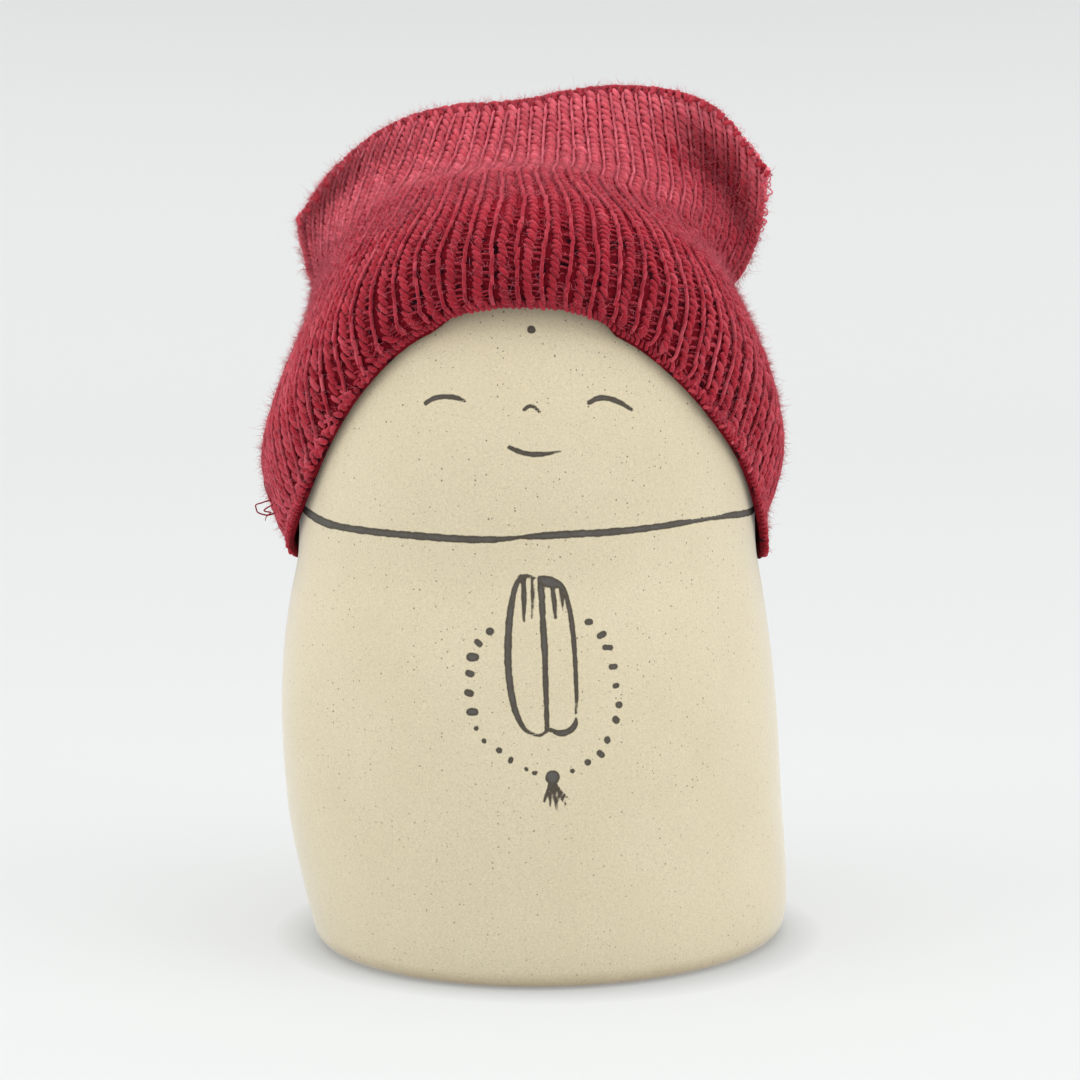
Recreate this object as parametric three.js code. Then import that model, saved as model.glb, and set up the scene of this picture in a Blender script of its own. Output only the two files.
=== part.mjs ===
// Stoneware jizo figurine wearing a machine-knitted wool cap.
// Millimetres, +Z up, front towards -Y. The origin is the centre of the flat underside.
// Two pieces: the closed stoneware figure, and the cap that is pulled over its head.
// The figure's marks are thin painted lines, so they have no relief here.
import * as THREE from 'three';

// Driving dimensions of the figure
const figureHeight = 126;
const neckHeight = 72;        // where the body ends and the dome of the head begins
const bodyHalf = 40.8;        // half width at the belly
const headHalf = 37.2;        // half width at the neck, where the dome springs
const domeSquareness = 2.3;   // 2 is an ellipsoid, more is boxier
const depthShare = 0.98;      // front to back against left to right
const footRound = 2.2;        // radius of the softened foot edge
const bulge = 0.035;          // how far the plan is out of round
const bulgeAt = Math.PI * 1.25;

// Driving dimensions of the cap
const capThickness = 2.0;
const capClearance = 0.35;    // between the cap's lining side and the head
const seamHalf = 1.6;         // half the thickness of the cap's edge along the seam and upper folds
const hemRound = 0.6;         // how far the hem's middle hangs below its two edges

// Mesh fineness
const figureColumns = 64;
const wallRows = 14;
const footRows = 3;
const domeRows = 12;
const panelColumns = 36;      // columns across the cap's front, and again across its back
const outerRows = 20;
const innerRows = 15;

const domeRise = figureHeight - neckHeight;

// Body profile. Height as a share of the neck height, half width as a share of the belly's,
// and the sideways lean of the section's centre as a share of the belly's half width.
const wallProfile = [
  [0, 0.940, 0.009],
  [0.055, 0.965, 0.005],
  [0.14, 0.983, -0.013],
  [0.305, 1, -0.049],
  [0.5, 1, -0.072],
  [0.667, 0.982, -0.082],
  [0.79, 0.952, -0.0845],
  [0.89, 0.920, -0.0835],
  [1, headHalf / bodyHalf, -0.0833],
];
const headX = wallProfile.at(-1)[2] * bodyHalf;

// Cap form. The cap is two panels, front and back, joined at a left and a right fold and along
// a top seam. v runs from the brim (0) to the seam (1) and u across a panel, left -1 to right 1.
// Sideways and fore-and-aft places are shares of the head's half width from its axis, and heights
// are shares of the dome's rise above the neck.
const stations = [0, 0.08, 0.22, 0.42, 0.6, 0.72, 0.85, 1];
const frontMiddle = [
  [-0.898, 0.614], [-0.949, 0.666], [-0.906, 0.806], [-0.685, 0.943],
  [-0.363, 1.023], [-0.134, 1.041], [0.108, 1.102], [0.323, 1.232],
];
const backMiddle = [
  [1.038, 0.111], [1.09, 0.16], [1.118, 0.27], [1.1, 0.5],
  [0.995, 0.704], [0.833, 0.879], [0.605, 1.065], [0.323, 1.232],
];
const leftFold = [
  [-1.038, -0.157], [-1.118, -0.065], [-1.177, 0.139], [-1.005, 0.463],
  [-0.957, 0.616], [-0.992, 0.704], [-1.022, 0.787], [-1.027, 0.857],
];
const rightFold = [
  [1.01, -0.157], [1.06, -0.065], [1.134, 0.16], [1.000, 0.463],
  [0.903, 0.611], [0.984, 0.713], [1.046, 0.833], [1.081, 1],
];
const roundness = [1, 1, 1, 1, 0.85, 0.6, 0.3, 0];     // 1 wraps round the head, 0 lies flat
const fullness = [1, 1, 1, 1, 1.1, 1.2, 1.5, 1.6];     // more pinches the section's corners
const foldDepth = [0.054, 0.054, 0.054, 0.054, 0.08, 0.107, 0.134, 0.134];

const brimSide = -0.157;      // the brim's height at both folds
const frontBrim = [
  [-1, brimSide], [-0.8, -0.065], [-0.65, 0.065], [-0.55, 0.204], [-0.45, 0.333], [-0.3, 0.506],
  [-0.15, 0.596], [0, 0.626], [0.15, 0.602], [0.3, 0.506], [0.45, 0.371], [0.55, 0.283],
  [0.7, 0.139], [0.82, 0.01], [1, brimSide],
];
// The back of the brim is even on both sides, so its knots are placed by the square of u
const backBrim = [[0, 0.111], [0.16, 0.028], [0.36, -0.09], [0.56, -0.165], [0.76, -0.187], [1, brimSide]];
const topSeam = [
  [-1, 0.857], [-0.85, 1.009], [-0.6, 1.148], [-0.35, 1.202], [-0.1, 1.216],
  [0.35, 1.264], [0.75, 1.204], [1, 1],
];
// Hollows in the front panel below the two upper corners: place across, depth
const cornerHollows = [[0.72, 0.134], [-0.72, 0.054]];
const hollowWidth = 0.2;
const hollowHeight = 0.1;
const hollowAt = 0.8;

// Where the lining side stops short of the folds and the seam, because the cap is thin there
const liningReach = [[0, 1], [0.45, 1], [0.6, 0.9], [0.7, 0.82], [0.8, 0.66], [0.88, 0.5], [1, 0.4]];
const liningTop = 0.88;

/** Smooth curve through knots [t, value, ...], evaluated at t. */
function through(knots, t) {
  const last = knots.length - 1;
  const at = Math.min(Math.max(t, knots[0][0]), knots[last][0]);
  let i = 0;
  while (i < last - 1 && at > knots[i + 1][0]) i++;
  const slope = (n, axis) => {
    const before = knots[Math.max(n - 1, 0)];
    const after = knots[Math.min(n + 1, last)];
    return (after[axis] - before[axis]) / (after[0] - before[0]);
  };
  const span = knots[i + 1][0] - knots[i][0];
  const s = (at - knots[i][0]) / span;
  const values = [];
  for (let axis = 1; axis < knots[0].length; axis++) {
    values.push(
      (2 * s ** 3 - 3 * s ** 2 + 1) * knots[i][axis]
      + (s ** 3 - 2 * s ** 2 + s) * span * slope(i, axis)
      + (3 * s ** 2 - 2 * s ** 3) * knots[i + 1][axis]
      + (s ** 3 - s ** 2) * span * slope(i + 1, axis),
    );
  }
  return values;
}

function smoothStep(x, low, high) {
  const t = Math.min(Math.max((x - low) / (high - low), 0), 1);
  return t * t * (3 - 2 * t);
}

/** How far the plan is out of round in a direction, fading out up the dome. */
function outOfRound(angle, height) {
  const fade = Math.min(Math.max(1 - (height - neckHeight) / domeRise, 0), 1);
  return 1 + bulge * fade * Math.cos(2 * (angle - bulgeAt));
}

/** A point of the figure's skin. */
function figurePoint(angle, half, lean, height) {
  const reach = half * outOfRound(angle, height);
  return new THREE.Vector3(
    lean + reach * Math.cos(angle),
    depthShare * reach * Math.sin(angle),
    height,
  );
}

/** Half width and lean of the body below the neck. */
function wallAt(height) {
  const [half, lean] = through(wallProfile, height / neckHeight);
  return { half: half * bodyHalf, lean: lean * bodyHalf };
}

/** Rings of the figure from the underside to just below the pole. */
function figureRings() {
  const rings = [];
  for (let i = 0; i < footRows; i++) {
    const turn = (i / footRows) * Math.PI / 2;
    const height = footRound * (1 - Math.cos(turn));
    const { half, lean } = wallAt(height);
    rings.push({ half: half - footRound * (1 - Math.sin(turn)), lean, height });
  }
  for (let i = 0; i < wallRows; i++) {
    const height = footRound + (neckHeight - footRound) * (i / wallRows);
    rings.push({ ...wallAt(height), height });
  }
  for (let i = 0; i < domeRows; i++) {
    const turn = (i / domeRows) * Math.PI / 2;
    rings.push({
      half: headHalf * Math.cos(turn) ** (2 / domeSquareness),
      lean: headX,
      height: neckHeight + domeRise * Math.sin(turn) ** (2 / domeSquareness),
    });
  }
  return rings;
}

/** A closed mesh from vertices and triangles. */
function solid(name, points, triangles, material) {
  const geometry = new THREE.BufferGeometry();
  geometry.setAttribute('position', new THREE.Float32BufferAttribute(points.flatMap((p) => p.toArray()), 3));
  geometry.setIndex(triangles.flat());
  geometry.computeVertexNormals();
  const mesh = new THREE.Mesh(geometry, material);
  mesh.name = name;
  return mesh;
}

/** Two triangles for a quad given anticlockwise from outside. */
function quad(a, b, c, d) {
  return [[a, b, c], [a, c, d]];
}

function stonewareFigure() {
  const rings = figureRings();
  const points = rings.flatMap(({ half, lean, height }) => (
    Array.from({ length: figureColumns }, (_, column) => (
      figurePoint((column / figureColumns) * Math.PI * 2, half, lean, height)
    ))
  ));
  const index = (ring, column) => ring * figureColumns + (column % figureColumns);
  const triangles = [];
  for (let ring = 0; ring < rings.length - 1; ring++) {
    for (let column = 0; column < figureColumns; column++) {
      triangles.push(...quad(
        index(ring, column), index(ring, column + 1),
        index(ring + 1, column + 1), index(ring + 1, column),
      ));
    }
  }
  const underside = points.push(new THREE.Vector3(rings[0].lean, 0, 0)) - 1;
  const pole = points.push(new THREE.Vector3(headX, 0, figureHeight)) - 1;
  const lastRing = rings.length - 1;
  for (let column = 0; column < figureColumns; column++) {
    triangles.push([underside, index(0, column + 1), index(0, column)]);
    triangles.push([pole, index(lastRing, column), index(lastRing, column + 1)]);
  }
  const clay = new THREE.MeshStandardMaterial({ color: 0xcfc0a0, roughness: 0.85, metalness: 0 });
  return solid('stoneware_figure', points, triangles, clay);
}

/** Moves a point out along the ray from the head's centre until it is gap away from the head. */
function clearOfHead(point, gap) {
  const x = point.x - headX;
  const y = point.y / depthShare;
  const rise = Math.max(point.z - neckHeight, 0);
  const half = rise > 0 ? headHalf : wallAt(point.z).half;
  const skin = half * outOfRound(Math.atan2(y, x), point.z) + gap;
  const nearness = (
    (Math.hypot(x, y) / skin) ** domeSquareness + (rise / (domeRise + gap)) ** domeSquareness
  ) ** (1 / domeSquareness);
  const stretch = Math.max(1, 1 / nearness);
  return new THREE.Vector3(
    headX + x * stretch,
    y * stretch * depthShare,
    rise > 0 ? neckHeight + rise * stretch : point.z,
  );
}

/** A value at v along the cap, from a list with one entry for each station. */
function along(list, v) {
  return through(stations.map((station, i) => [station, ...[list[i]].flat()]), v);
}

/** A point of the cap's outside in the front or back panel. */
function capPoint(u, v, isBack) {
  const middleList = isBack ? backMiddle : frontMiddle;
  const foldList = u < 0 ? leftFold : rightFold;
  const [middleY, middleZ] = along(middleList, v);
  const [leftX] = along(leftFold, v);
  const [rightX] = along(rightFold, v);
  const foldZ = along(foldList, v)[1];
  const [wrap] = along(roundness, v);
  const [pinch] = along(fullness, v);
  const [foldY] = along(foldDepth, v);

  const share = Math.max(Math.cos(Math.PI * u / 2), 0);
  const across = wrap * Math.sin(Math.PI * u / 2) + (1 - wrap) * u;
  const x = (leftX + rightX) / 2 + across * (rightX - leftX) / 2;
  let y = foldY + (middleY - foldY) * share ** pinch;
  if (!isBack) {
    for (const [place, depth] of cornerHollows) {
      const spread = ((u - place) / hollowWidth) ** 2 + ((v - hollowAt) / hollowHeight) ** 2;
      y += depth * Math.exp(-spread) * (1 - smoothStep(v, 0.9, 1)) * smoothStep(1 - Math.abs(u), 0, 0.15);
    }
  }

  // Low down the heights follow the brim, and near the top they follow the seam
  const brimZ = isBack ? through(backBrim, u * u)[0] : through(frontBrim, u)[0];
  const risen = (middleZ - middleList[0][1]) * share ** 2 + (foldZ - foldList[0][1]) * (1 - share ** 2);
  const bow = share ** 1.1;
  const upperZ = foldZ + (middleZ - foldZ) * bow;
  const endZ = foldList.at(-1)[1] + (middleList.at(-1)[1] - foldList.at(-1)[1]) * bow;
  const blend = smoothStep(v, 0, 0.5);
  const seamPull = (through(topSeam, u)[0] - endZ) * smoothStep(v, 0.45, 1);
  const z = (brimZ + risen) * (1 - blend) + upperZ * blend + seamPull;

  // Where the panels close on each other, each keeps its own thickness up to a rounded edge
  const plump = seamHalf * smoothStep(v, 0.5, 0.85) * Math.sqrt(Math.max((1 - v ** 10) * (1 - u ** 10), 0));
  const placed = new THREE.Vector3(
    headX + x * headHalf,
    y * headHalf + (isBack ? plump : -plump),
    neckHeight + z * domeRise,
  );
  return clearOfHead(placed, capClearance + capThickness);
}

/** A point of the cap's lining side: its outside, moved in by the cloth's thickness. */
function liningPoint(u, v, isBack) {
  const step = 0.01;
  const reached = u * through(liningReach, v)[0];
  const low = Math.max(v - step, 0);
  const left = Math.max(reached - step, -1);
  const right = Math.min(reached + step, 1);
  const eastward = capPoint(right, v, isBack).sub(capPoint(left, v, isBack));
  const upward = capPoint(reached, v + step, isBack).sub(capPoint(reached, low, isBack));
  const outward = eastward.cross(upward).normalize();
  if (isBack) outward.negate();
  const inner = capPoint(reached, v, isBack).addScaledVector(outward, -capThickness);
  return clearOfHead(inner, capClearance);
}

/** One ring of points round the cap: the front panel left to right, then the back panel. */
function capRing(pointAt, v) {
  const ring = [];
  for (let column = 0; column < 2 * panelColumns; column++) {
    const isBack = column > panelColumns;
    const u = isBack ? 3 - 2 * column / panelColumns : 2 * column / panelColumns - 1;
    const onFold = Math.abs(u) === 1;
    const point = pointAt(u, v, isBack);
    ring.push(onFold ? point.add(pointAt(u, v, !isBack)).multiplyScalar(0.5) : point);
  }
  return ring;
}

function knitCap() {
  const columns = 2 * panelColumns;
  // Rows crowd towards the brim, where the cap curls under
  const outer = Array.from({ length: outerRows }, (_, i) => capRing(capPoint, (i / outerRows) ** 1.15));
  const lining = Array.from({ length: innerRows + 1 }, (_, i) => (
    capRing(liningPoint, liningTop * (i / innerRows) ** 1.15)
  ));
  const hem = outer[0].map((point, column) => {
    const middle = point.clone().add(lining[0][column]).multiplyScalar(0.5);
    middle.z -= hemRound;
    return middle;
  });
  const rings = [...lining.reverse(), hem, ...outer];
  const points = rings.flat();
  const seamStart = points.length;
  for (let i = 0; i <= panelColumns; i++) points.push(capPoint(2 * i / panelColumns - 1, 1, false));

  const index = (ring, column) => ring * columns + (column % columns);
  const seamIndex = (column) => {
    const wrapped = column % columns;
    return seamStart + (wrapped <= panelColumns ? wrapped : columns - wrapped);
  };
  const triangles = [];
  for (let ring = 0; ring < rings.length - 1; ring++) {
    for (let column = 0; column < columns; column++) {
      triangles.push(...quad(
        index(ring, column), index(ring, column + 1),
        index(ring + 1, column + 1), index(ring + 1, column),
      ));
    }
  }
  const last = rings.length - 1;
  for (let column = 0; column < columns; column++) {
    triangles.push(...quad(
      index(last, column), index(last, column + 1), seamIndex(column + 1), seamIndex(column),
    ));
  }
  // The top of the hollow is closed from the front panel across to the back one
  for (let i = 0; i < panelColumns; i++) {
    const [front, nextFront] = [i, i + 1];
    const [back, nextBack] = [columns - i, columns - i - 1];
    if (i > 0) triangles.push([index(0, front), index(0, back), index(0, nextFront)]);
    if (i < panelColumns - 1) triangles.push([index(0, nextFront), index(0, back), index(0, nextBack)]);
  }
  const wool = new THREE.MeshStandardMaterial({ color: 0xa32e3e, roughness: 0.95, metalness: 0 });
  return solid('knit_cap', points, triangles, wool);
}

const figurine = new THREE.Group();
figurine.add(stonewareFigure(), knitCap());

export default figurine;
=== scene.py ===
"""Stoneware jizo figurine in a rib-knitted wool cap: surfaces, knitting and studio."""
import math

import bpy
import numpy as np
from bpy.props import FloatProperty, FloatVectorProperty, IntProperty, PointerProperty
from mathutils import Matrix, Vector


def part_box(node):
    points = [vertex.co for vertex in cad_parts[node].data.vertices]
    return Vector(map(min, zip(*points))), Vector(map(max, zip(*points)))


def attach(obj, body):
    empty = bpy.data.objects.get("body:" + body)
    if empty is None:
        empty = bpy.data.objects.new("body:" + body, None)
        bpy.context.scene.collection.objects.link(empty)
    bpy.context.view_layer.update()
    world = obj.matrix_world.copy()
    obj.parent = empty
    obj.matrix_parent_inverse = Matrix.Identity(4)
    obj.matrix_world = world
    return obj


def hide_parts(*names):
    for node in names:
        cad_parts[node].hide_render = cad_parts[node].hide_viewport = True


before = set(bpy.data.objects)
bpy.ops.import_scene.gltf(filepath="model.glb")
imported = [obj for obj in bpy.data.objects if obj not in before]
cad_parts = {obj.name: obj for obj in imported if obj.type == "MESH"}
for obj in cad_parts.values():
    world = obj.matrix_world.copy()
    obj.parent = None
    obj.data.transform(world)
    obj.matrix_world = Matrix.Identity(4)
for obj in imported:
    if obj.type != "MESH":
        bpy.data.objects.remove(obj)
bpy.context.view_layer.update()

bl_info = {
    "name": "Jizo figurine in a knitted cap",
    "version": (1, 0, 0),
    "blender": (4, 5, 0),
    "location": "View3D > Sidebar > Figurine",
    "description": "Builds a painted stoneware figure, its knitted cap and a plain studio",
    "category": "Add Mesh",
}

# The frame gives the size. Everything below is in millimetres of a figure 126 mm tall.
FIGURE_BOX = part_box("stoneware_figure")
MODEL_HEIGHT = 126.0
MM = FIGURE_BOX[1].z / MODEL_HEIGHT

# The figure
NECK = 72.0
DOME_RISE = MODEL_HEIGHT - NECK
BODY_HALF = 40.8
HEAD_HALF = 37.2
DOME_SQUARENESS = 2.3
DEPTH_SHARE = 0.98
FOOT_ROUND = 2.2
BULGE = 0.035
BULGE_AT = math.radians(225)
WALL = [
    (0, 0.940, 0.009), (0.055, 0.965, 0.005), (0.14, 0.983, -0.013), (0.305, 1, -0.049),
    (0.5, 1, -0.072), (0.667, 0.982, -0.082), (0.79, 0.952, -0.0845), (0.89, 0.920, -0.0835),
    (1, HEAD_HALF / BODY_HALF, -0.0833),
]
HEAD_X = WALL[-1][2] * BODY_HALF
# The painted front has close rings and columns, so that the brushed lines keep their edges
PAINT_LOW, PAINT_HIGH, PAINT_STEP = 28, 105, 0.36
PAINT_REACH = math.radians(36)
PLAIN_RING = 1.1
DOME_RINGS = 24
OTHER_COLUMNS = 140

# The cap: v runs from the brim to the top seam, u across the front or back panel
CAP_CLEARANCE = 0.35
CAP_THICKNESS = 2.0
SEAM_HALF = 1.6
STATIONS = [0, 0.08, 0.22, 0.42, 0.6, 0.72, 0.85, 1]
FRONT_MIDDLE = [
    (-0.898, 0.614), (-0.949, 0.666), (-0.906, 0.806), (-0.685, 0.943),
    (-0.363, 1.023), (-0.134, 1.041), (0.108, 1.102), (0.323, 1.232),
]
BACK_MIDDLE = [
    (1.038, 0.111), (1.09, 0.16), (1.118, 0.27), (1.1, 0.5),
    (0.995, 0.704), (0.833, 0.879), (0.605, 1.065), (0.323, 1.232),
]
LEFT_FOLD = [
    (-1.038, -0.157), (-1.118, -0.065), (-1.177, 0.139), (-1.005, 0.463),
    (-0.957, 0.616), (-0.992, 0.704), (-1.022, 0.787), (-1.027, 0.857),
]
RIGHT_FOLD = [
    (1.01, -0.157), (1.06, -0.065), (1.134, 0.16), (1.000, 0.463),
    (0.903, 0.611), (0.984, 0.713), (1.046, 0.833), (1.081, 1),
]
ROUNDNESS = [1, 1, 1, 1, 0.85, 0.6, 0.3, 0]
FULLNESS = [1, 1, 1, 1, 1.1, 1.2, 1.5, 1.6]
FOLD_DEPTH = [0.054, 0.054, 0.054, 0.054, 0.08, 0.107, 0.134, 0.134]
BRIM_SIDE = -0.157
FRONT_BRIM = [
    (-1, BRIM_SIDE), (-0.8, -0.065), (-0.65, 0.065), (-0.55, 0.204), (-0.45, 0.352),
    (-0.3, 0.534), (-0.15, 0.615), (0, 0.632), (0.15, 0.612), (0.3, 0.526), (0.45, 0.386),
    (0.55, 0.283), (0.7, 0.139), (0.82, 0.01), (1, BRIM_SIDE),
]
BACK_BRIM = [(0, 0.111), (0.16, 0.028), (0.36, -0.09), (0.56, -0.165), (0.76, -0.187), (1, BRIM_SIDE)]
TOP_SEAM = [
    (-1, 0.857), (-0.85, 1.009), (-0.6, 1.148), (-0.35, 1.202), (-0.1, 1.216),
    (0.35, 1.264), (0.75, 1.204), (1, 1),
]
CORNER_HOLLOWS = [(0.72, 0.134), (-0.72, 0.054)]
HOLLOW_WIDTH = 0.2
HOLLOW_HEIGHT = 0.1
HOLLOW_AT = 0.8
# The cloth's lining follows the outside this far up, and reaches this share of the way to the folds
LINING_TOP = 0.88
LINING_REACH = [(0, 1), (0.45, 1), (0.6, 0.9), (0.7, 0.82), (0.8, 0.66), (0.9, 0.5)]
HEM_DROP = 0.4


# Small mathematics shared by the figure and the cap

def through(knots, t):
    """Smooth curve through knots (t, value, ...); gives one array for each value."""
    table = np.asarray(knots, float)
    place, value = table[:, 0], table[:, 1:]
    slope = np.empty_like(value)
    slope[1:-1] = (value[2:] - value[:-2]) / (place[2:] - place[:-2])[:, None]
    slope[0] = (value[1] - value[0]) / (place[1] - place[0])
    slope[-1] = (value[-1] - value[-2]) / (place[-1] - place[-2])
    t = np.clip(np.asarray(t, float), place[0], place[-1])
    i = np.clip(np.searchsorted(place, t, side="right") - 1, 0, len(place) - 2)
    span = (place[i + 1] - place[i])[..., None]
    s = ((t - place[i]) / (place[i + 1] - place[i]))[..., None]
    curve = (
        (2 * s**3 - 3 * s**2 + 1) * value[i] + (s**3 - 2 * s**2 + s) * span * slope[i]
        + (3 * s**2 - 2 * s**3) * value[i + 1] + (s**3 - s**2) * span * slope[i + 1]
    )
    return [curve[..., k] for k in range(curve.shape[-1])]


def smooth_step(x, low, high):
    t = np.clip((x - low) / (high - low), 0, 1)
    return t * t * (3 - 2 * t)


def unit(vectors):
    length = np.linalg.norm(vectors, axis=-1, keepdims=True)
    return vectors / np.maximum(length, 1e-9)


# The figure's skin

def out_of_round(angle, height):
    fade = np.clip(1 - (height - NECK) / DOME_RISE, 0, 1)
    return 1 + BULGE * fade * np.cos(2 * (angle - BULGE_AT))


def half_and_lean(height):
    """Half width and sideways lean of the figure at a height."""
    half, lean = through(WALL, np.minimum(height / NECK, 1))
    rise = np.clip((height - NECK) / DOME_RISE, 0, 1)
    dome = HEAD_HALF * (1 - rise**DOME_SQUARENESS) ** (1 / DOME_SQUARENESS)
    inset = FOOT_ROUND - np.sqrt(FOOT_ROUND**2 - np.clip(FOOT_ROUND - height, 0, FOOT_ROUND) ** 2)
    return np.where(height > NECK, dome, half * BODY_HALF) - inset, lean * BODY_HALF


def hand_made(angle, height):
    """Slow unevenness that a hand leaves in the wall, in millimetres."""
    slow = 0.10 * np.sin(3 * angle + 0.045 * height + 0.6) * np.sin(0.06 * height + 1.1)
    ripple = 0.05 * np.sin(7 * angle - 0.11 * height) + 0.04 * np.sin(11 * angle + 0.21 * height)
    return (slow + ripple) * smooth_step(height, 0, 6)


def figure_skin(angle, height):
    """A point of the figure's surface; angle 0 is to the right and -90 degrees is the front."""
    half, lean = half_and_lean(height)
    reach = half * out_of_round(angle, height) + hand_made(angle, height)
    return np.stack(
        [lean + reach * np.cos(angle), DEPTH_SHARE * reach * np.sin(angle), height + 0 * angle], -1
    )


def front_angle(x, height):
    """The angle at which the front of the figure has a sideways place x."""
    half, lean = half_and_lean(height)
    angle = -np.arccos(np.clip((x - lean) / half, -1, 1))
    for _ in range(3):
        angle = -np.arccos(np.clip((x - lean) / (half * out_of_round(angle, height)), -1, 1))
    return angle


# The cap's skin

def clear_of_head(points, gap):
    """Moves points out along the ray from the head's centre until they are gap away from it."""
    x = points[..., 0] - HEAD_X
    y = points[..., 1] / DEPTH_SHARE
    rise = np.maximum(points[..., 2] - NECK, 0)
    half = np.where(rise > 0, HEAD_HALF, half_and_lean(np.maximum(points[..., 2], FOOT_ROUND))[0])
    skin = half * out_of_round(np.arctan2(y, x), points[..., 2]) + gap
    nearness = (
        (np.hypot(x, y) / skin) ** DOME_SQUARENESS + (rise / (DOME_RISE + gap)) ** DOME_SQUARENESS
    ) ** (1 / DOME_SQUARENESS)
    stretch = np.maximum(1, 1 / np.maximum(nearness, 1e-6))
    height = np.where(rise > 0, NECK + rise * stretch, points[..., 2])
    return np.stack([HEAD_X + x * stretch, y * stretch * DEPTH_SHARE, height], -1)


def along(table, v):
    rows = np.asarray(table, float).reshape(len(STATIONS), -1)
    return through(np.column_stack([STATIONS, rows]), v)


def panel_point(u, v, is_back):
    """A point of the cap's outside in one panel."""
    middle = BACK_MIDDLE if is_back else FRONT_MIDDLE
    middle_y, middle_z = along(middle, v)
    left_x, left_z = along(LEFT_FOLD, v)
    right_x, right_z = along(RIGHT_FOLD, v)
    wrap, = along(ROUNDNESS, v)
    pinch, = along(FULLNESS, v)
    fold_y, = along(FOLD_DEPTH, v)
    fold_z = np.where(u < 0, left_z, right_z)
    fold_start = np.where(u < 0, LEFT_FOLD[0][1], RIGHT_FOLD[0][1])
    fold_end = np.where(u < 0, LEFT_FOLD[-1][1], RIGHT_FOLD[-1][1])

    share = np.maximum(np.cos(np.pi * u / 2), 0)
    across = wrap * np.sin(np.pi * u / 2) + (1 - wrap) * u
    x = (left_x + right_x) / 2 + across * (right_x - left_x) / 2
    y = fold_y + (middle_y - fold_y) * share**pinch
    if not is_back:
        for place, depth in CORNER_HOLLOWS:
            spread = ((u - place) / HOLLOW_WIDTH) ** 2 + ((v - HOLLOW_AT) / HOLLOW_HEIGHT) ** 2
            fade = (1 - smooth_step(v, 0.9, 1)) * smooth_step(1 - np.abs(u), 0, 0.15)
            y = y + depth * np.exp(-spread) * fade

    brim, = through(BACK_BRIM, u * u) if is_back else through(FRONT_BRIM, u)
    risen = (middle_z - middle[0][1]) * share**2 + (fold_z - fold_start) * (1 - share**2)
    bow = share**1.1
    upper = fold_z + (middle_z - fold_z) * bow
    end = fold_end + (middle[-1][1] - fold_end) * bow
    blend = smooth_step(v, 0, 0.5)
    seam_pull = (through(TOP_SEAM, u)[0] - end) * smooth_step(v, 0.45, 1)
    z = (brim + risen) * (1 - blend) + upper * blend + seam_pull

    edge = np.sqrt(np.maximum((1 - v**10) * (1 - u**10), 0))
    plump = SEAM_HALF * smooth_step(v, 0.5, 0.85) * edge * (1 if is_back else -1)
    placed = np.stack([HEAD_X + x * HEAD_HALF, y * HEAD_HALF + plump, NECK + z * DOME_RISE], -1)
    return clear_of_head(placed, CAP_CLEARANCE + CAP_THICKNESS)


def cap_skin(turn, v):
    """The cap's outside; turn 0 to 1 crosses the front left to right, 1 to 2 returns behind."""
    turn, v = np.broadcast_arrays(np.asarray(turn, float) % 2, np.clip(v, 0, 1))
    is_back = turn > 1
    u = np.where(is_back, 3 - 2 * turn, 2 * turn - 1)
    return np.where(is_back[..., None], panel_point(u, v, True), panel_point(u, v, False))


def cap_frame(turn, v):
    """Place, across, up and outward directions on the cap's outside."""
    step_turn, step_v = 0.004, 0.006
    place = cap_skin(turn, v)
    across = cap_skin(turn + step_turn, v) - cap_skin(turn - step_turn, v)
    low, high = np.clip(v - step_v, 0, 1), np.clip(v + step_v, 0, 1)
    up = (cap_skin(turn, high) - cap_skin(turn, low)) / (high - low)[..., None]
    across, up = unit(across), unit(up)
    outward = unit(np.cross(across, up))
    across = unit(np.cross(up, outward))
    return place, across, up, outward


# Meshes, node groups and materials

def new_piece(name, points, faces, material):
    """A mesh object from millimetre points, placed at the origin."""
    mesh = bpy.data.meshes.new(name)
    mesh.from_pydata(np.asarray(points) * MM, [], faces)
    mesh.materials.append(material)
    mesh.polygons.foreach_set("use_smooth", [True] * len(mesh.polygons))
    mesh.validate()
    piece = bpy.data.objects.new(name, mesh)
    bpy.context.scene.collection.objects.link(piece)
    return piece


def grid_faces(rows, columns):
    """Quads of rings of points, ring after ring; the last column joins the first."""
    row, column = np.meshgrid(np.arange(rows - 1), np.arange(columns), indexing="ij")
    near = row * columns
    after = (column + 1) % columns
    quads = np.stack([near + column, near + after, near + columns + after, near + columns + column], -1)
    return quads.reshape(-1, 4)


def point_attribute(mesh, name, values, kind="FLOAT"):
    layer = mesh.attributes.new(name, kind, "POINT")
    key = "vector" if kind == "FLOAT_VECTOR" else "value"
    layer.data.foreach_set(key, np.asarray(values, np.float32).ravel())


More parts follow.
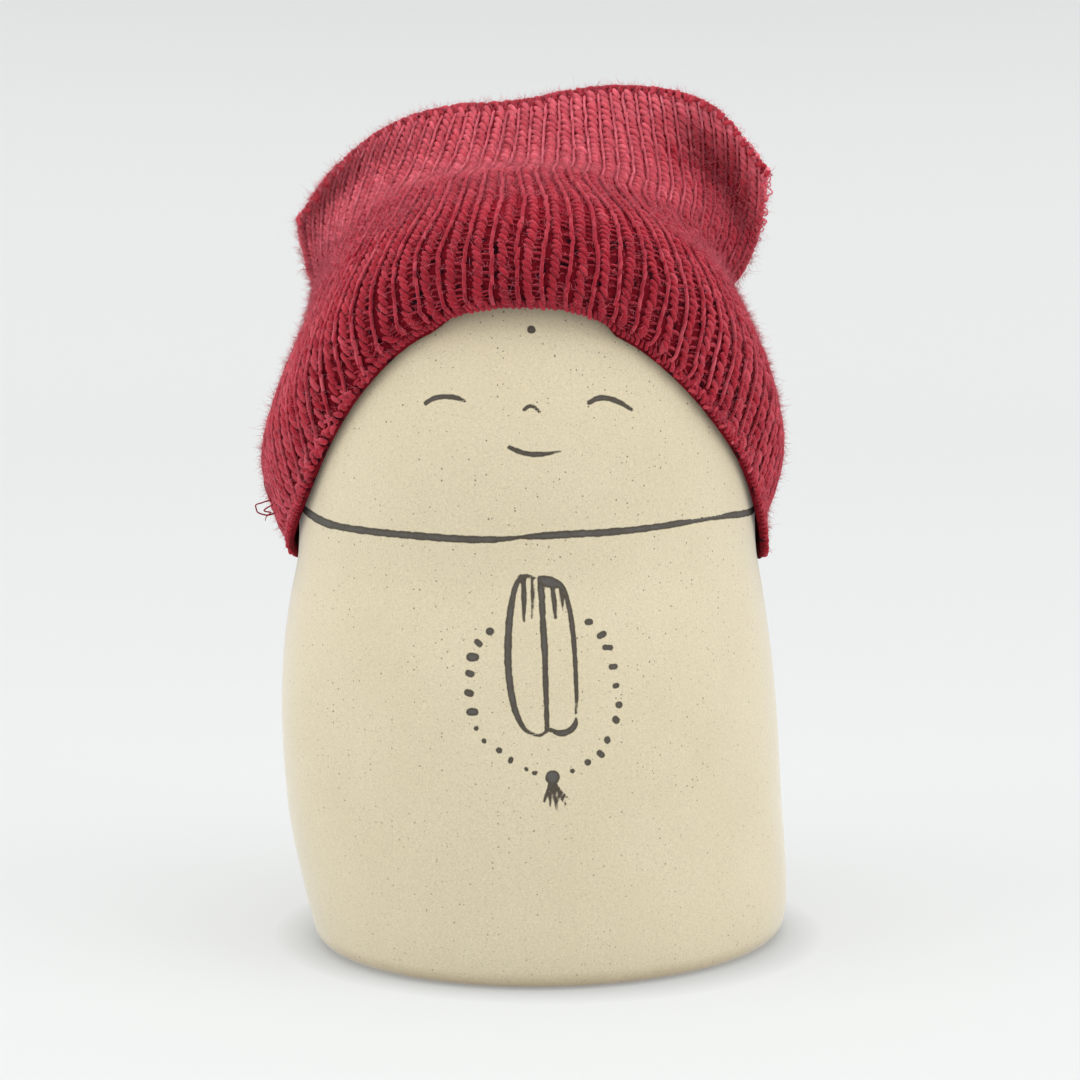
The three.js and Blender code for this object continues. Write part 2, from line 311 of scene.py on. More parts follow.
class Nodes:
    """Adds nodes to a tree and joins them in few words."""

    def __init__(self, tree):
        self.tree = tree

    def add(self, kind, inputs=None, **settings):
        node = self.tree.nodes.new(kind)
        for key, value in settings.items():
            setattr(node, key, value)
        for key, value in (inputs or {}).items():
            self.feed(node.inputs[key], value)
        return node

    def feed(self, socket, value):
        if isinstance(value, bpy.types.NodeSocket):
            self.tree.links.new(value, socket)
        elif isinstance(value, bpy.types.Node):
            self.tree.links.new(value.outputs[0], socket)
        else:
            socket.default_value = value

    def math(self, operation, *values, clamp=False):
        node = self.add("ShaderNodeMath", operation=operation, use_clamp=clamp)
        for socket, value in zip(node.inputs, values):
            self.feed(socket, value)
        return node.outputs[0]

    def mix(self, factor, first, second, blend="MIX"):
        node = self.add("ShaderNodeMix", data_type="RGBA", blend_type=blend)
        for key, value in ((0, factor), (6, first), (7, second)):
            self.feed(node.inputs[key], value)
        return node.outputs[2]

    def noise(self, vector, scale, detail=2.0, roughness=0.5):
        inputs = {"Vector": vector, "Scale": scale, "Detail": detail, "Roughness": roughness}
        return self.add("ShaderNodeTexNoise", inputs).outputs["Fac"]

    def attribute(self, name):
        return self.add("ShaderNodeAttribute", attribute_name=name).outputs["Fac"]

    def relief(self, height, strength, distance):
        inputs = {"Height": height, "Strength": strength, "Distance": distance}
        return self.add("ShaderNodeBump", inputs).outputs[0]


def colour(rgb):
    """A display colour, 0 to 255, as the linear colour that a node takes."""
    share = np.asarray(rgb, float) / 255
    linear = np.where(share <= 0.04045, share / 12.92, ((share + 0.055) / 1.055) ** 2.4)
    return (*linear, 1.0)


def node_tree(name, kind, inputs, outputs):
    """The named node tree with its sockets, and whether it was there already."""
    found = bpy.data.node_groups.get(name)
    if found:
        return found, True
    tree = bpy.data.node_groups.new(name, kind)
    for label, socket_kind, value in inputs:
        socket = tree.interface.new_socket(label, in_out="INPUT", socket_type=socket_kind)
        if value is not None:
            socket.default_value = value
    for label, socket_kind in outputs:
        tree.interface.new_socket(label, in_out="OUTPUT", socket_type=socket_kind)
    return tree, False


def mottle_group():
    """Shader group: a colour, made lighter and darker in slow patches and in fine grain."""
    tree, found = node_tree(
        "Mottle", "ShaderNodeTree",
        [
            ("Vector", "NodeSocketVector", None), ("Colour", "NodeSocketColor", None),
            ("Patch Scale", "NodeSocketFloat", 60.0), ("Patch Amount", "NodeSocketFloat", 0.1),
            ("Grain Scale", "NodeSocketFloat", 2000.0), ("Grain Amount", "NodeSocketFloat", 0.1),
        ],
        [("Colour", "NodeSocketColor"), ("Grain", "NodeSocketFloat")],
    )
    if found:
        return tree
    n = Nodes(tree)
    given = n.add("NodeGroupInput")
    patches = n.noise(given.outputs["Vector"], given.outputs["Patch Scale"], 3.0)
    grain = n.noise(given.outputs["Vector"], given.outputs["Grain Scale"], 3.0, 0.65)
    patch_shift = n.math("MULTIPLY", n.math("SUBTRACT", patches, 0.5), given.outputs["Patch Amount"])
    grain_shift = n.math("MULTIPLY", n.math("SUBTRACT", grain, 0.5), given.outputs["Grain Amount"])
    value = n.math("ADD", n.math("ADD", patch_shift, grain_shift), 1.0)
    shifted = n.add("ShaderNodeHueSaturation", {"Color": given.outputs["Colour"], "Value": value})
    n.add("NodeGroupOutput", {"Colour": shifted.outputs[0], "Grain": grain})
    return tree


def speck_group():
    """Shader group: round specks at random places and sizes, as a mask."""
    tree, found = node_tree(
        "Specks", "ShaderNodeTree",
        [
            ("Vector", "NodeSocketVector", None), ("Scale", "NodeSocketFloat", 800.0),
            ("Share", "NodeSocketFloat", 0.3), ("Size", "NodeSocketFloat", 0.25),
        ],
        [("Mask", "NodeSocketFloat")],
    )
    if found:
        return tree
    n = Nodes(tree)
    given = n.add("NodeGroupInput")
    cells = n.add(
        "ShaderNodeTexVoronoi", {"Vector": given.outputs["Vector"], "Scale": given.outputs["Scale"]}
    )
    chance = n.add("ShaderNodeSeparateColor", {"Color": cells.outputs["Color"]}).outputs[0]
    above = n.math("SUBTRACT", chance, n.math("SUBTRACT", 1.0, given.outputs["Share"]))
    reach = n.math("MULTIPLY", n.math("DIVIDE", above, given.outputs["Share"]), given.outputs["Size"])
    inside = n.math("SUBTRACT", reach, cells.outputs["Distance"])
    mask = n.math("MULTIPLY", inside, 22.0, clamp=True)
    n.add("NodeGroupOutput", {"Mask": mask})
    return tree


def use_group(nodes, group, **inputs):
    node = nodes.add("ShaderNodeGroup")
    node.node_tree = group
    for key, value in inputs.items():
        nodes.feed(node.inputs[key.replace("_", " ")], value)
    return node


def new_material(name):
    material = bpy.data.materials.new(name)
    material.use_nodes = True
    material.node_tree.nodes.clear()
    nodes = Nodes(material.node_tree)
    shader = nodes.add("ShaderNodeBsdfPrincipled")
    nodes.add("ShaderNodeOutputMaterial", {"Surface": shader.outputs[0]})
    return material, nodes, shader


def stoneware_material(clay, ink):
    """Sandy unglazed clay with iron specks, and the brushed lines where the ink mark says."""
    material, n, shader = new_material("Stoneware")
    place = n.add("ShaderNodeTexCoord").outputs["Object"]
    body = use_group(
        n, mottle_group(), Vector=place, Colour=clay, Patch_Scale=45.0, Patch_Amount=0.05,
        Grain_Scale=3600.0, Grain_Amount=0.6,
    )
    warm = n.noise(place, 60.0, 3.0)
    tone = n.mix(n.math("MULTIPLY", warm, 0.26), body.outputs["Colour"], colour((196, 172, 128)))
    height = n.add("ShaderNodeSeparateXYZ", {"Vector": place}).outputs["Z"]
    # The last 3 mm above the floor are darker: partly the clay's own toasted foot, partly a painted contact
    # shadow.
    low = n.math("SUBTRACT", 1.0, n.math("DIVIDE", height, 3.0 * MM), clamp=True)
    toast_and_contact_shade = n.math("MULTIPLY", low, n.math("ADD", 0.3, n.math("MULTIPLY", n.noise(place, 260.0), 0.5)))
    tone = n.mix(toast_and_contact_shade, tone, colour((168, 140, 104)))
    iron = use_group(n, speck_group(), Vector=place, Scale=1150.0, Share=0.7, Size=0.21)
    dust = use_group(n, speck_group(), Vector=place, Scale=2100.0, Share=0.9, Size=0.22)
    grog = use_group(n, speck_group(), Vector=place, Scale=1500.0, Share=0.7, Size=0.17)
    tone = n.mix(n.math("MULTIPLY", grog.outputs[0], 0.5), tone, colour((238, 231, 212)))
    tone = n.mix(n.math("MULTIPLY", dust.outputs[0], 0.5), tone, colour((140, 112, 76)))
    crowding = n.math("ADD", 0.42, n.math("MULTIPLY", n.math("DIVIDE", height, 110.0 * MM), 0.42))
    rare = use_group(n, speck_group(), Vector=place, Scale=430.0, Share=0.22, Size=0.1)
    spots = n.math("MAXIMUM", iron.outputs[0], rare.outputs[0])
    tone = n.mix(n.math("MULTIPLY", spots, crowding), tone, colour((84, 66, 50)))

    signed = n.attribute("ink")
    dry = n.attribute("dry")
    wobble = n.math("MULTIPLY", n.math("SUBTRACT", n.noise(place, 2400.0, 3.0), 0.5), 0.11)
    starved = n.math("MULTIPLY", dry, n.math("SUBTRACT", n.noise(place, 1700.0, 4.0, 0.7), 0.18))
    sway = n.math("MULTIPLY", n.math("SUBTRACT", n.noise(place, 560.0, 2.0), 0.5), 0.26)
    depth = n.math("SUBTRACT", n.math("ADD", n.math("ADD", signed, sway), wobble), starved)
    mask = n.math("ADD", n.math("MULTIPLY", depth, 7.0), 0.5, clamp=True)
    core = n.math("MULTIPLY", n.math("SUBTRACT", signed, 0.16), 3.2, clamp=True)
    pool = n.math("MULTIPLY", core, n.noise(place, 500.0, 2.0))
    ink_tone = n.mix(pool, ink, colour((92, 94, 98)))
    worn = n.math("SUBTRACT", 1.0, n.math("MULTIPLY", n.noise(place, 3000.0, 2.0, 0.7), 0.1))
    final = n.mix(n.math("MULTIPLY", mask, worn), tone, ink_tone)

    streaks = n.add("ShaderNodeMapping", {"Vector": place, "Scale": (900.0, 900.0, 60.0)})
    drag = n.noise(streaks.outputs[0], 1.0, 2.0)
    grit = n.noise(place, 1500.0, 4.0, 0.7)
    relief = n.math("ADD", n.math("MULTIPLY", grit, 0.75), n.math("MULTIPLY", drag, 0.35))
    relief = n.math("SUBTRACT", relief, n.math("MULTIPLY", iron.outputs[0], 0.25))
    bump = n.relief(relief, 0.55, 0.12 * MM)
    roughness = n.math("SUBTRACT", 0.92, n.math("MULTIPLY", mask, 0.16))
    n.feed(shader.inputs["Base Color"], final)
    n.feed(shader.inputs["Roughness"], roughness)
    n.feed(shader.inputs["Normal"], bump)
    n.feed(shader.inputs["Specular IOR Level"], 0.25)
    n.feed(shader.inputs["Sheen Weight"], n.math("MULTIPLY", n.math("SUBTRACT", 1.0, mask), 0.85))
    n.feed(shader.inputs["Sheen Roughness"], 0.36)
    return material


def wool_material(name, wool, tint, sheen, grain, depth):
    """Wool, lighter and darker from stitch to stitch by random tone and painted light and shade, the lighter
    stitches painted toward the sheen's tint; depth is the share of light that sinks in.
    """
    material, n, shader = new_material(name)
    place = n.add("ShaderNodeTexCoord").outputs["Object"]
    mottled = use_group(
        n, mottle_group(), Vector=place, Colour=wool, Patch_Scale=90.0, Patch_Amount=0.25,
        Grain_Scale=2200.0, Grain_Amount=grain,
    )
    shade = n.attribute("shade")
    # Painted sheen: the shade attribute makes each stitch lighter or darker, and the lighter ones are mixed
    # toward the sheen's tint.
    painted_sheen_haze = n.mix(n.math("MULTIPLY", shade, 0.6, clamp=True), mottled.outputs["Colour"], tint)
    toned = n.add("ShaderNodeHueSaturation", {"Color": painted_sheen_haze, "Value": n.math("ADD", 1.0, shade)})
    bump = n.relief(n.noise(place, 3000.0, 4.0, 0.75), 0.9, 0.22 * MM)
    n.feed(shader.inputs["Base Color"], toned.outputs[0])
    n.feed(shader.inputs["Normal"], bump)
    n.feed(shader.inputs["Roughness"], 0.9)
    n.feed(shader.inputs["Specular IOR Level"], 0.08)
    n.feed(shader.inputs["Subsurface Weight"], depth)
    n.feed(shader.inputs["Subsurface Scale"], 0.5 * MM)
    n.feed(shader.inputs["Subsurface Radius"], (1.0, 0.4, 0.45))
    n.feed(shader.inputs["Sheen Weight"], sheen)
    n.feed(shader.inputs["Sheen Roughness"], 0.55)
    n.feed(shader.inputs["Sheen Tint"], tint)
    return material


def cloth_material(wool):
    """The cap's ground behind the stitches, painted darker in the cuff as shade between the ribs, with
    near-black spots of painted shade in the cuff's gaps.
    """
    material, n, shader = new_material("Wool_Ground")
    place = n.add("ShaderNodeTexCoord").outputs["Object"]
    mottled = use_group(
        n, mottle_group(), Vector=place, Colour=wool, Patch_Scale=200.0, Patch_Amount=0.3,
        Grain_Scale=1800.0, Grain_Amount=0.5,
    )
    # Painted shade: in the cuff the ground is darker and has near-black spots in its gaps.
    spots = n.math("MULTIPLY", n.math("SUBTRACT", n.noise(place, 650.0, 3.0), 0.52), 7.0, clamp=True)
    cuff = n.attribute("cuff")
    cuff_painted_shade = n.mix(cuff, mottled.outputs["Colour"], colour((116, 18, 30)))
    toned = n.mix(n.math("MULTIPLY", spots, cuff), cuff_painted_shade, colour((36, 10, 18)))
    bump = n.relief(n.noise(place, 1800.0, 3.0, 0.7), 0.8, 0.3 * MM)
    n.feed(shader.inputs["Base Color"], toned)
    n.feed(shader.inputs["Normal"], bump)
    n.feed(shader.inputs["Roughness"], 0.95)
    n.feed(shader.inputs["Specular IOR Level"], 0.05)
    return material


# Painted lines: each point is sideways place, height and width of the brush mark

FACE_LINES = [
    [(-2.74, 103.02, 1.25), (-2.66, 102.98, 1.2)],
    [(-19.0, 91.65, 0.78), (-17.9, 92.35, 0.82), (-16.1, 92.75, 0.88), (-14.3, 92.6, 0.78),
     (-12.9, 92.15, 0.5)],
    [(6.15, 91.85, 0.7), (7.3, 92.4, 0.85), (8.7, 92.45, 0.88), (10.7, 91.8, 0.82), (12.75, 90.5, 0.55)],
    [(-3.8, 90.95, 0.55), (-3.1, 91.45, 0.6), (-2.4, 91.4, 0.6), (-1.45, 90.55, 0.5)],
    [(-6.15, 85.25, 0.68), (-4.5, 84.55, 0.78), (-2.5, 84.15, 0.85), (-0.35, 84.2, 0.62), (1.85, 84.6, 0.25)],
]
HAND_LINES = [
    [(-4.2, 65.3, 0.7), (-4.95, 64.3, 0.85), (-5.55, 62.4, 0.95), (-5.95, 59.9, 1.1), (-6.28, 56.1, 1.15),
     (-6.3, 52.1, 1.15), (-5.95, 48.4, 1.1), (-5.15, 44.7, 1.0), (-3.8, 42.05, 0.75), (-2.6, 41.25, 0.5),
     (-1.45, 40.95, 0.45), (-0.3, 41.55, 0.4)],
    [(-4.5, 65.35, 0.6), (-3.3, 65.4, 0.65), (-2.2, 65.05, 0.5)],
    [(-1.6, 65.2, 0.55), (-1.2, 62.8, 1.05), (-0.97, 58.5, 0.95), (-0.75, 55, 1.1), (-0.6, 51.5, 0.9),
     (-0.4, 45, 0.85), (-0.3, 41.7, 0.75)],
    [(-1.4, 65.1, 0.7), (-0.3, 64.5, 1.8), (0.9, 64.2, 1.4), (2.0, 63.6, 0.9), (2.7, 62.0, 0.7)],
    [(2.2, 63.4, 0.7), (3.0, 60.9, 0.8), (3.55, 57.6, 0.85), (3.88, 54.2, 0.85), (4.08, 50.2, 0.75),
     (4.22, 46.6, 0.6), (4.15, 44.2, 0.4)],
    [(4.2, 43.4, 0.5), (3.95, 42.3, 0.95), (2.9, 41.4, 1.05), (1.6, 41.2, 0.95), (0.3, 41.75, 0.7)],
    [(-3.95, 64.9, 0.8), (-3.85, 61.5, 0.8), (-3.9, 58.5, 0.35)],
    [(-2.65, 65.0, 0.5), (-2.55, 62, 0.6), (-2.6, 59.0, 0.3)],
    [(0.45, 64, 0.7), (0.75, 61.5, 0.8), (0.95, 59.0, 0.5)],
    [(1.7, 63.7, 0.6), (2.0, 61.5, 0.55), (2.2, 59.9, 0.25)],
]
TASSEL_LINES = [
    [(0.45, 34.45, 2.1), (0.6, 34.4, 2.15)],
    [(0.2, 33.5, 0.55), (-0.35, 31.9, 0.52), (-0.8, 30.45, 0.34)],
    [(0.35, 33.4, 0.55), (0.25, 31.6, 0.5), (0.18, 29.9, 0.36)],
    [(0.85, 33.4, 0.5), (1.05, 31.2, 0.52), (1.2, 28.9, 0.4)],
    [(1.0, 33.3, 0.5), (1.8, 31.4, 0.52), (2.65, 29.9, 0.36)],
    [(1.05, 33.2, 0.45), (2.1, 31.8, 0.45), (3.1, 30.85, 0.32)],
]
# Beads: sideways place, height, length, thickness and tilt in degrees
BEADS = [
    (-9.1, 57.0, 1.3, 1.2, 0), (-10.9, 55.2, 1.6, 1.0, -40), (-11.7, 53.0, 2.1, 1.35, -4),
    (-12.2, 50.5, 1.6, 1.1, -18), (-12.3, 47.5, 1.65, 1.2, -15), (-11.8, 44.6, 1.95, 1.15, 3),
    (-11.2, 42.05, 0.9, 0.9, 70), (-10.0, 40.1, 0.9, 0.75, -60), (-7.7, 38.7, 1.1, 0.95, -40),
    (-5.9, 37.2, 1.2, 0.8, 80), (-3.5, 35.75, 0.85, 0.65, -60), (-2.2, 35.15, 1.1, 0.8, -5),
    (3.65, 35.25, 0.9, 0.8, -20), (6.0, 36.5, 1.2, 1.05, -30), (8.0, 37.65, 1.55, 1.0, -45),
    (9.05, 39.75, 1.3, 1.05, -70), (10.35, 42.8, 1.5, 1.15, -45), (10.8, 45.1, 1.3, 1.1, -10),
    (10.35, 48.1, 1.3, 1.0, 5), (9.95, 51.05, 1.5, 0.92, 0), (9.1, 54.05, 1.9, 0.98, -6),
    (8.1, 56.0, 1.75, 1.05, 24), (6.1, 58.1, 1.4, 0.95, 4),
]
# The neckline is given by degrees from the front instead of a sideways place
NECK_LINES = [
    [(-104, 72.6, 0.9), (-90, 72.9, 1.2), (-76, 72.7, 1.35), (-66, 72.1, 1.45), (-57, 71.5, 1.4),
     (-49, 71.35, 1.2), (-40, 71.3, 1.15), (-27, 71.2, 1.2), (-13, 71.0, 1.15), (-6, 71.1, 0.95),
     (-0.5, 71.5, 0.4)],
    [(-3, 71.35, 0.35), (1.5, 71.5, 1.0), (11, 71.7, 1.2), (25, 71.8, 1.1), (40, 72.1, 1.05),
     (50, 72.3, 1.0), (62, 72.1, 1.0), (70, 71.7, 1.15), (84, 71.3, 1.2), (100, 71.5, 0.9)],
]
# The stretch of the neckline, in degrees and in height, where the brush ran dry
DRY_STRETCH = (43, 63)
DRY_HEIGHT = (71.6, 72.8)


def bead_line(x, height, length, thickness, tilt):
    """A bead is a short, fat brush mark."""
    half = max(length - thickness, 0.05) / 2
    along_x, along_z = half * math.cos(math.radians(tilt)), half * math.sin(math.radians(tilt))
    return [(x - along_x, height - along_z, thickness), (x + along_x, height + along_z, thickness)]


def brush_samples(line, by_angle, spacing=0.14):
    """Points on the skin along a brush line, with the line's half width at each."""
    table = np.asarray(line, float)
    if by_angle:
        reach = HEAD_HALF * np.radians(table[:, 0])
    else:
        reach = table[:, 0]
    travelled = np.concatenate([[0], np.cumsum(np.hypot(np.diff(reach), np.diff(table[:, 1])))])
    count = max(int(travelled[-1] / spacing), 2)
    at = np.linspace(0, travelled[-1], count)
    place, height, width = through(np.column_stack([travelled, table]), at)
    angle = np.radians(place - 90) if by_angle else front_angle(place, height)
    hand = 1 + 0.05 * np.sin(at * 2.3 + table[0, 1]) + 0.03 * np.sin(at * 5.1 + table[0, 0])
    return figure_skin(angle, height), width * hand / 2


def painted_depth(points):
    """How deep each point lies inside a brush mark, in millimetres; negative is outside."""
    reach, batch = 1.5, 2000
    lines = [(line, False) for line in FACE_LINES + HAND_LINES + TASSEL_LINES]
    lines += [(bead_line(*bead), False) for bead in BEADS]
    lines += [(line, True) for line in NECK_LINES]
    depth = np.full(len(points), -reach)
    for line, by_angle in lines:
        places, half = brush_samples(line, by_angle)
        margin = reach + half.max()
        near = np.all((points > places.min(0) - margin) & (points < places.max(0) + margin), axis=1)
        chosen = np.flatnonzero(near)
        for part in np.array_split(chosen, max(len(chosen) // batch, 1)):
            gap = np.linalg.norm(points[part, None] - places[None], axis=2)
            depth[part] = np.maximum(depth[part], (half - gap).max(1))
    return depth


def figure_rows():
    """Heights of the figure's rings: close where it is painted, wider elsewhere."""
    turn = np.linspace(0, math.pi / 2, 7)
    foot = FOOT_ROUND * (1 - np.cos(turn))
    plain = np.arange(foot[-1] + 1, PAINT_LOW - 0.5, PLAIN_RING)
    painted = np.arange(PAINT_LOW, PAINT_HIGH, PAINT_STEP)
    rise = ((painted[-1] - NECK) / DOME_RISE) ** DOME_SQUARENESS
    top = np.linspace(math.asin(math.sqrt(rise)), math.pi / 2, DOME_RINGS)[1:-1]
    dome = NECK + DOME_RISE * np.sin(top) ** (2 / DOME_SQUARENESS)
    return np.concatenate([foot, plain, painted, dome])


def figure_columns():
    """Angles of the figure's columns: close across the painted front, wider elsewhere."""
    front = np.arange(-PAINT_REACH, PAINT_REACH, PAINT_STEP / HEAD_HALF) - math.pi / 2
    rest = np.linspace(PAINT_REACH, 2 * math.pi - PAINT_REACH, OTHER_COLUMNS + 1)[:-1] - math.pi / 2
    return np.concatenate([front, rest])


def build_figure(sizes):
    heights, angles = figure_rows(), figure_columns()
    grid = figure_skin(angles[None, :], heights[:, None])
    rows, columns = len(heights), len(angles)
    points = list(grid.reshape(-1, 3))
    faces = grid_faces(rows, columns).tolist()
    lean = half_and_lean(np.array([0.0]))[1][0]
    points += [np.array([lean, 0, 0]), np.array([HEAD_X, 0, MODEL_HEIGHT])]
    underside, pole, last = rows * columns, rows * columns + 1, (rows - 1) * columns
    for column in range(columns):
        after = (column + 1) % columns
        faces.append([underside, after, column])
        faces.append([pole, last + column, last + after])
    material = stoneware_material((*sizes.clay, 1.0), (*sizes.ink, 1.0))
    figure = new_piece("stoneware_body", points, faces, material)
    places = np.array(points)
    point_attribute(figure.data, "ink", painted_depth(places))
    bearing = np.degrees(np.arctan2(places[:, 0] - HEAD_X, -places[:, 1]))
    middle, reach = sum(DRY_STRETCH) / 2, (DRY_STRETCH[1] - DRY_STRETCH[0]) / 2
    dry = smooth_step(1 - np.abs(bearing - middle) / reach, 0, 0.5) * smooth_step(places[:, 2], *DRY_HEIGHT)
    point_attribute(figure.data, "dry", dry)
    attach(figure, "root")
    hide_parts("stoneware_figure")
    return figure


# The cap's ground cloth

def build_cloth(sizes):
    columns, rows = 128, 50
    turn = np.arange(columns)[None, :] * 2 / columns
    v = (np.arange(rows) / rows)[:, None]
    turn, v = np.broadcast_arrays(turn, v)
    place, _, _, outward = cap_frame(turn, v)
    outer = place - outward * sizes.ground_depth
    inner_v = v * LINING_TOP
    reach, = through(LINING_REACH, inner_v)
    centred = np.where(turn > 1, 3 - 2 * turn, 2 * turn - 1) * reach
    inner_turn = np.where(turn > 1, (3 - centred) / 2, (centred + 1) / 2)
    lining_place, _, _, lining_out = cap_frame(inner_turn, inner_v)
    inward = lining_out * (CAP_THICKNESS - 0.4)
    lining = clear_of_head(lining_place - inward, CAP_CLEARANCE + 0.1)
    for fold in (0, columns // 2):
        for layer in (lining, outer):
            layer[:, fold] = (layer[:, fold - 1] + layer[:, (fold + 1) % columns]) / 2
    hem = (outer[0] + lining[0]) / 2 - np.array([0, 0, HEM_DROP])
    seam_turn = np.linspace(0, 1, columns // 2 + 1)
    seam = cap_skin(seam_turn, np.ones_like(seam_turn)) - np.array([0, 0, sizes.ground_depth])

    rings = np.concatenate([lining[::-1], hem[None], outer])
    points = np.concatenate([rings.reshape(-1, 3), seam])
    faces = grid_faces(len(rings), columns).tolist()
    seam_start, last, half = len(rings) * columns, (len(rings) - 1) * columns, columns // 2

    def seam_index(column):
        wrapped = column % columns
        return seam_start + (wrapped if wrapped <= half else columns - wrapped)

    for column in range(columns):
        after = (column + 1) % columns
        faces.append([last + column, last + after, seam_index(column + 1), seam_index(column)])
    for i in range(half):
        ring = [i, (columns - i) % columns, columns - i - 1, i + 1]
        faces.append([corner for k, corner in enumerate(ring) if corner not in ring[:k]])
    cloth = new_piece("cap_cloth", points, faces, cloth_material((*sizes.ground, 1.0)))
    height_share = np.concatenate([np.zeros(columns * rows + columns), v.ravel(), np.ones(half + 1)])
    point_attribute(cloth.data, "cuff", 1 - smooth_step(height_share, 0.3, 0.38))
    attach(cloth, "root")
    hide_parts("knit_cap")
    return cloth


# Knitting: places for the strands of each stitch, and the tree that lays yarn on them

# v, from the brim at 0 to the seam at 1, where the cuff's open ribs end and where the crown begins
CUFF_END = (0.34, 0.40)
CROWN_START = (0.56, 0.68)
TOP_ROW = 0.985

# Strands: x and y are shares of the stitch's width and height, or millimetres where it has
# neither, z is millimetres outward, and End_Share is how thick the ends are beside the middle
ROPE = {
    "Start": (-0.5, 0.6, -0.3), "Middle": (0.0, 0.1, 0.42), "End": (0.5, -0.64, -0.32),
    "Yarn_Radius": 0.42, "End_Share": 0.78,
}
POST = {
    "Start": (0.06, 0.8, -0.12), "Middle": (-0.04, 0.0, 0.16), "End": (0.02, -0.8, -0.14),
    "Yarn_Radius": 0.31, "End_Share": 0.9,
}
BAR = {
    "Start": (-0.5, -0.05, -0.1), "Middle": (0.0, 0.12, 0.16), "End": (0.5, -0.05, -0.1),
    "Yarn_Radius": 0.18, "End_Share": 0.8,
}
HEM_LOOP = {
    "Start": (-0.16, 1.3, -0.7), "Middle": (0.04, -0.85, 0.05), "End": (0.1, 0.1, -1.3),
    "Yarn_Radius": 0.42, "End_Share": 0.7,
}
SEAM_STITCH = {
    "Start": (-0.12, -1.1, -0.9), "Middle": (0.0, 0.0, 0.9), "End": (0.12, 1.1, -0.9),
    "Yarn_Radius": 0.42, "End_Share": 0.8,
}
OVERLOCK_LOOP = {
    "Start": (-0.15, -0.55, -0.5), "Middle": (0.0, 0.0, 1.1), "End": (0.15, 0.55, -0.5),
    "Yarn_Radius": 0.11, "End_Share": 0.8,
}
# The hem's four loops in each wale: their places in it, their thickness, and how far they are raised
HEM_PLACES = [0.3, 0.55, 0.8, 1.05]
HEM_GIRTHS = [1.15, 0.95, 1.05, 0.9]
HEM_RAISED = 0.3


def euler_from(across, up, outward):
    """Turns that carry x, y and z to the three directions, as an array of Euler angles."""
    around_y = -np.arcsin(np.clip(across[..., 2], -1, 1))
    around_x = np.arctan2(up[..., 2], outward[..., 2])
    around_z = np.arctan2(across[..., 1], across[..., 0])
    return np.stack([around_x, around_y, around_z], -1)


def place_points(name, points, turns, scales, shades):
    """A mesh of loose points that carries each strand's turn, scale and shade."""
    mesh = bpy.data.meshes.new(name)
    mesh.from_pydata(np.asarray(points) * MM, [], [])
    point_attribute(mesh, "turn", turns, "FLOAT_VECTOR")
    point_attribute(mesh, "size", scales, "FLOAT_VECTOR")
    point_attribute(mesh, "shade", shades)
    carrier = bpy.data.objects.new(name, mesh)
    bpy.context.scene.collection.objects.link(carrier)
    return carrier


def strand_tree():
    """Geometry Nodes: lays one arched, tapered strand on each point."""
    tree, found = node_tree(
        "Lay Strands", "GeometryNodeTree",
        [
            ("Geometry", "NodeSocketGeometry", None), ("Start", "NodeSocketVector", None),
            ("Middle", "NodeSocketVector", None), ("End", "NodeSocketVector", None),
            ("Yarn Radius", "NodeSocketFloat", 0.0004), ("End Share", "NodeSocketFloat", 0.7),
            ("Segments", "NodeSocketInt", 5), ("Sides", "NodeSocketInt", 6),
            ("Material", "NodeSocketMaterial", None),
        ],
        [("Geometry", "NodeSocketGeometry")],
    )
    if found:
        return tree
    n = Nodes(tree)
    given = n.add("NodeGroupInput")
    line = n.add("GeometryNodeCurveQuadraticBezier", {
        "Resolution": given.outputs["Segments"], "Start": given.outputs["Start"],
        "Middle": given.outputs["Middle"], "End": given.outputs["End"],
    })
    along_line = n.add("GeometryNodeSplineParameter").outputs["Factor"]
    swell = n.math("SINE", n.math("MULTIPLY", along_line, math.pi))
    taper = n.add("ShaderNodeMapRange", {"Value": swell, "To Min": given.outputs["End Share"]})
    ring = n.add("GeometryNodeCurvePrimitiveCircle", {
        "Resolution": given.outputs["Sides"], "Radius": given.outputs["Yarn Radius"],
    })
    yarn = n.add("GeometryNodeCurveToMesh", {
        "Curve": line.outputs[0], "Profile Curve": ring.outputs[0], "Scale": taper.outputs[0],
        "Fill Caps": True,
    })
    soft = n.add("GeometryNodeSetShadeSmooth", {"Geometry": yarn.outputs[0]})
    turn = n.add("GeometryNodeInputNamedAttribute", {"Name": "turn"}, data_type="FLOAT_VECTOR")
    size = n.add("GeometryNodeInputNamedAttribute", {"Name": "size"}, data_type="FLOAT_VECTOR")
    euler = n.add("FunctionNodeEulerToRotation", {"Euler": turn.outputs["Attribute"]})
    laid = n.add("GeometryNodeInstanceOnPoints", {
        "Points": given.outputs["Geometry"], "Instance": soft.outputs[0],
        "Rotation": euler.outputs[0], "Scale": size.outputs["Attribute"],
    })
    real = n.add("GeometryNodeRealizeInstances", {"Geometry": laid.outputs[0]})
    finish = n.add("GeometryNodeSetMaterial", {
        "Geometry": real.outputs[0], "Material": given.outputs["Material"],
    })
    n.add("NodeGroupOutput", {"Geometry": finish.outputs[0]})
    return tree


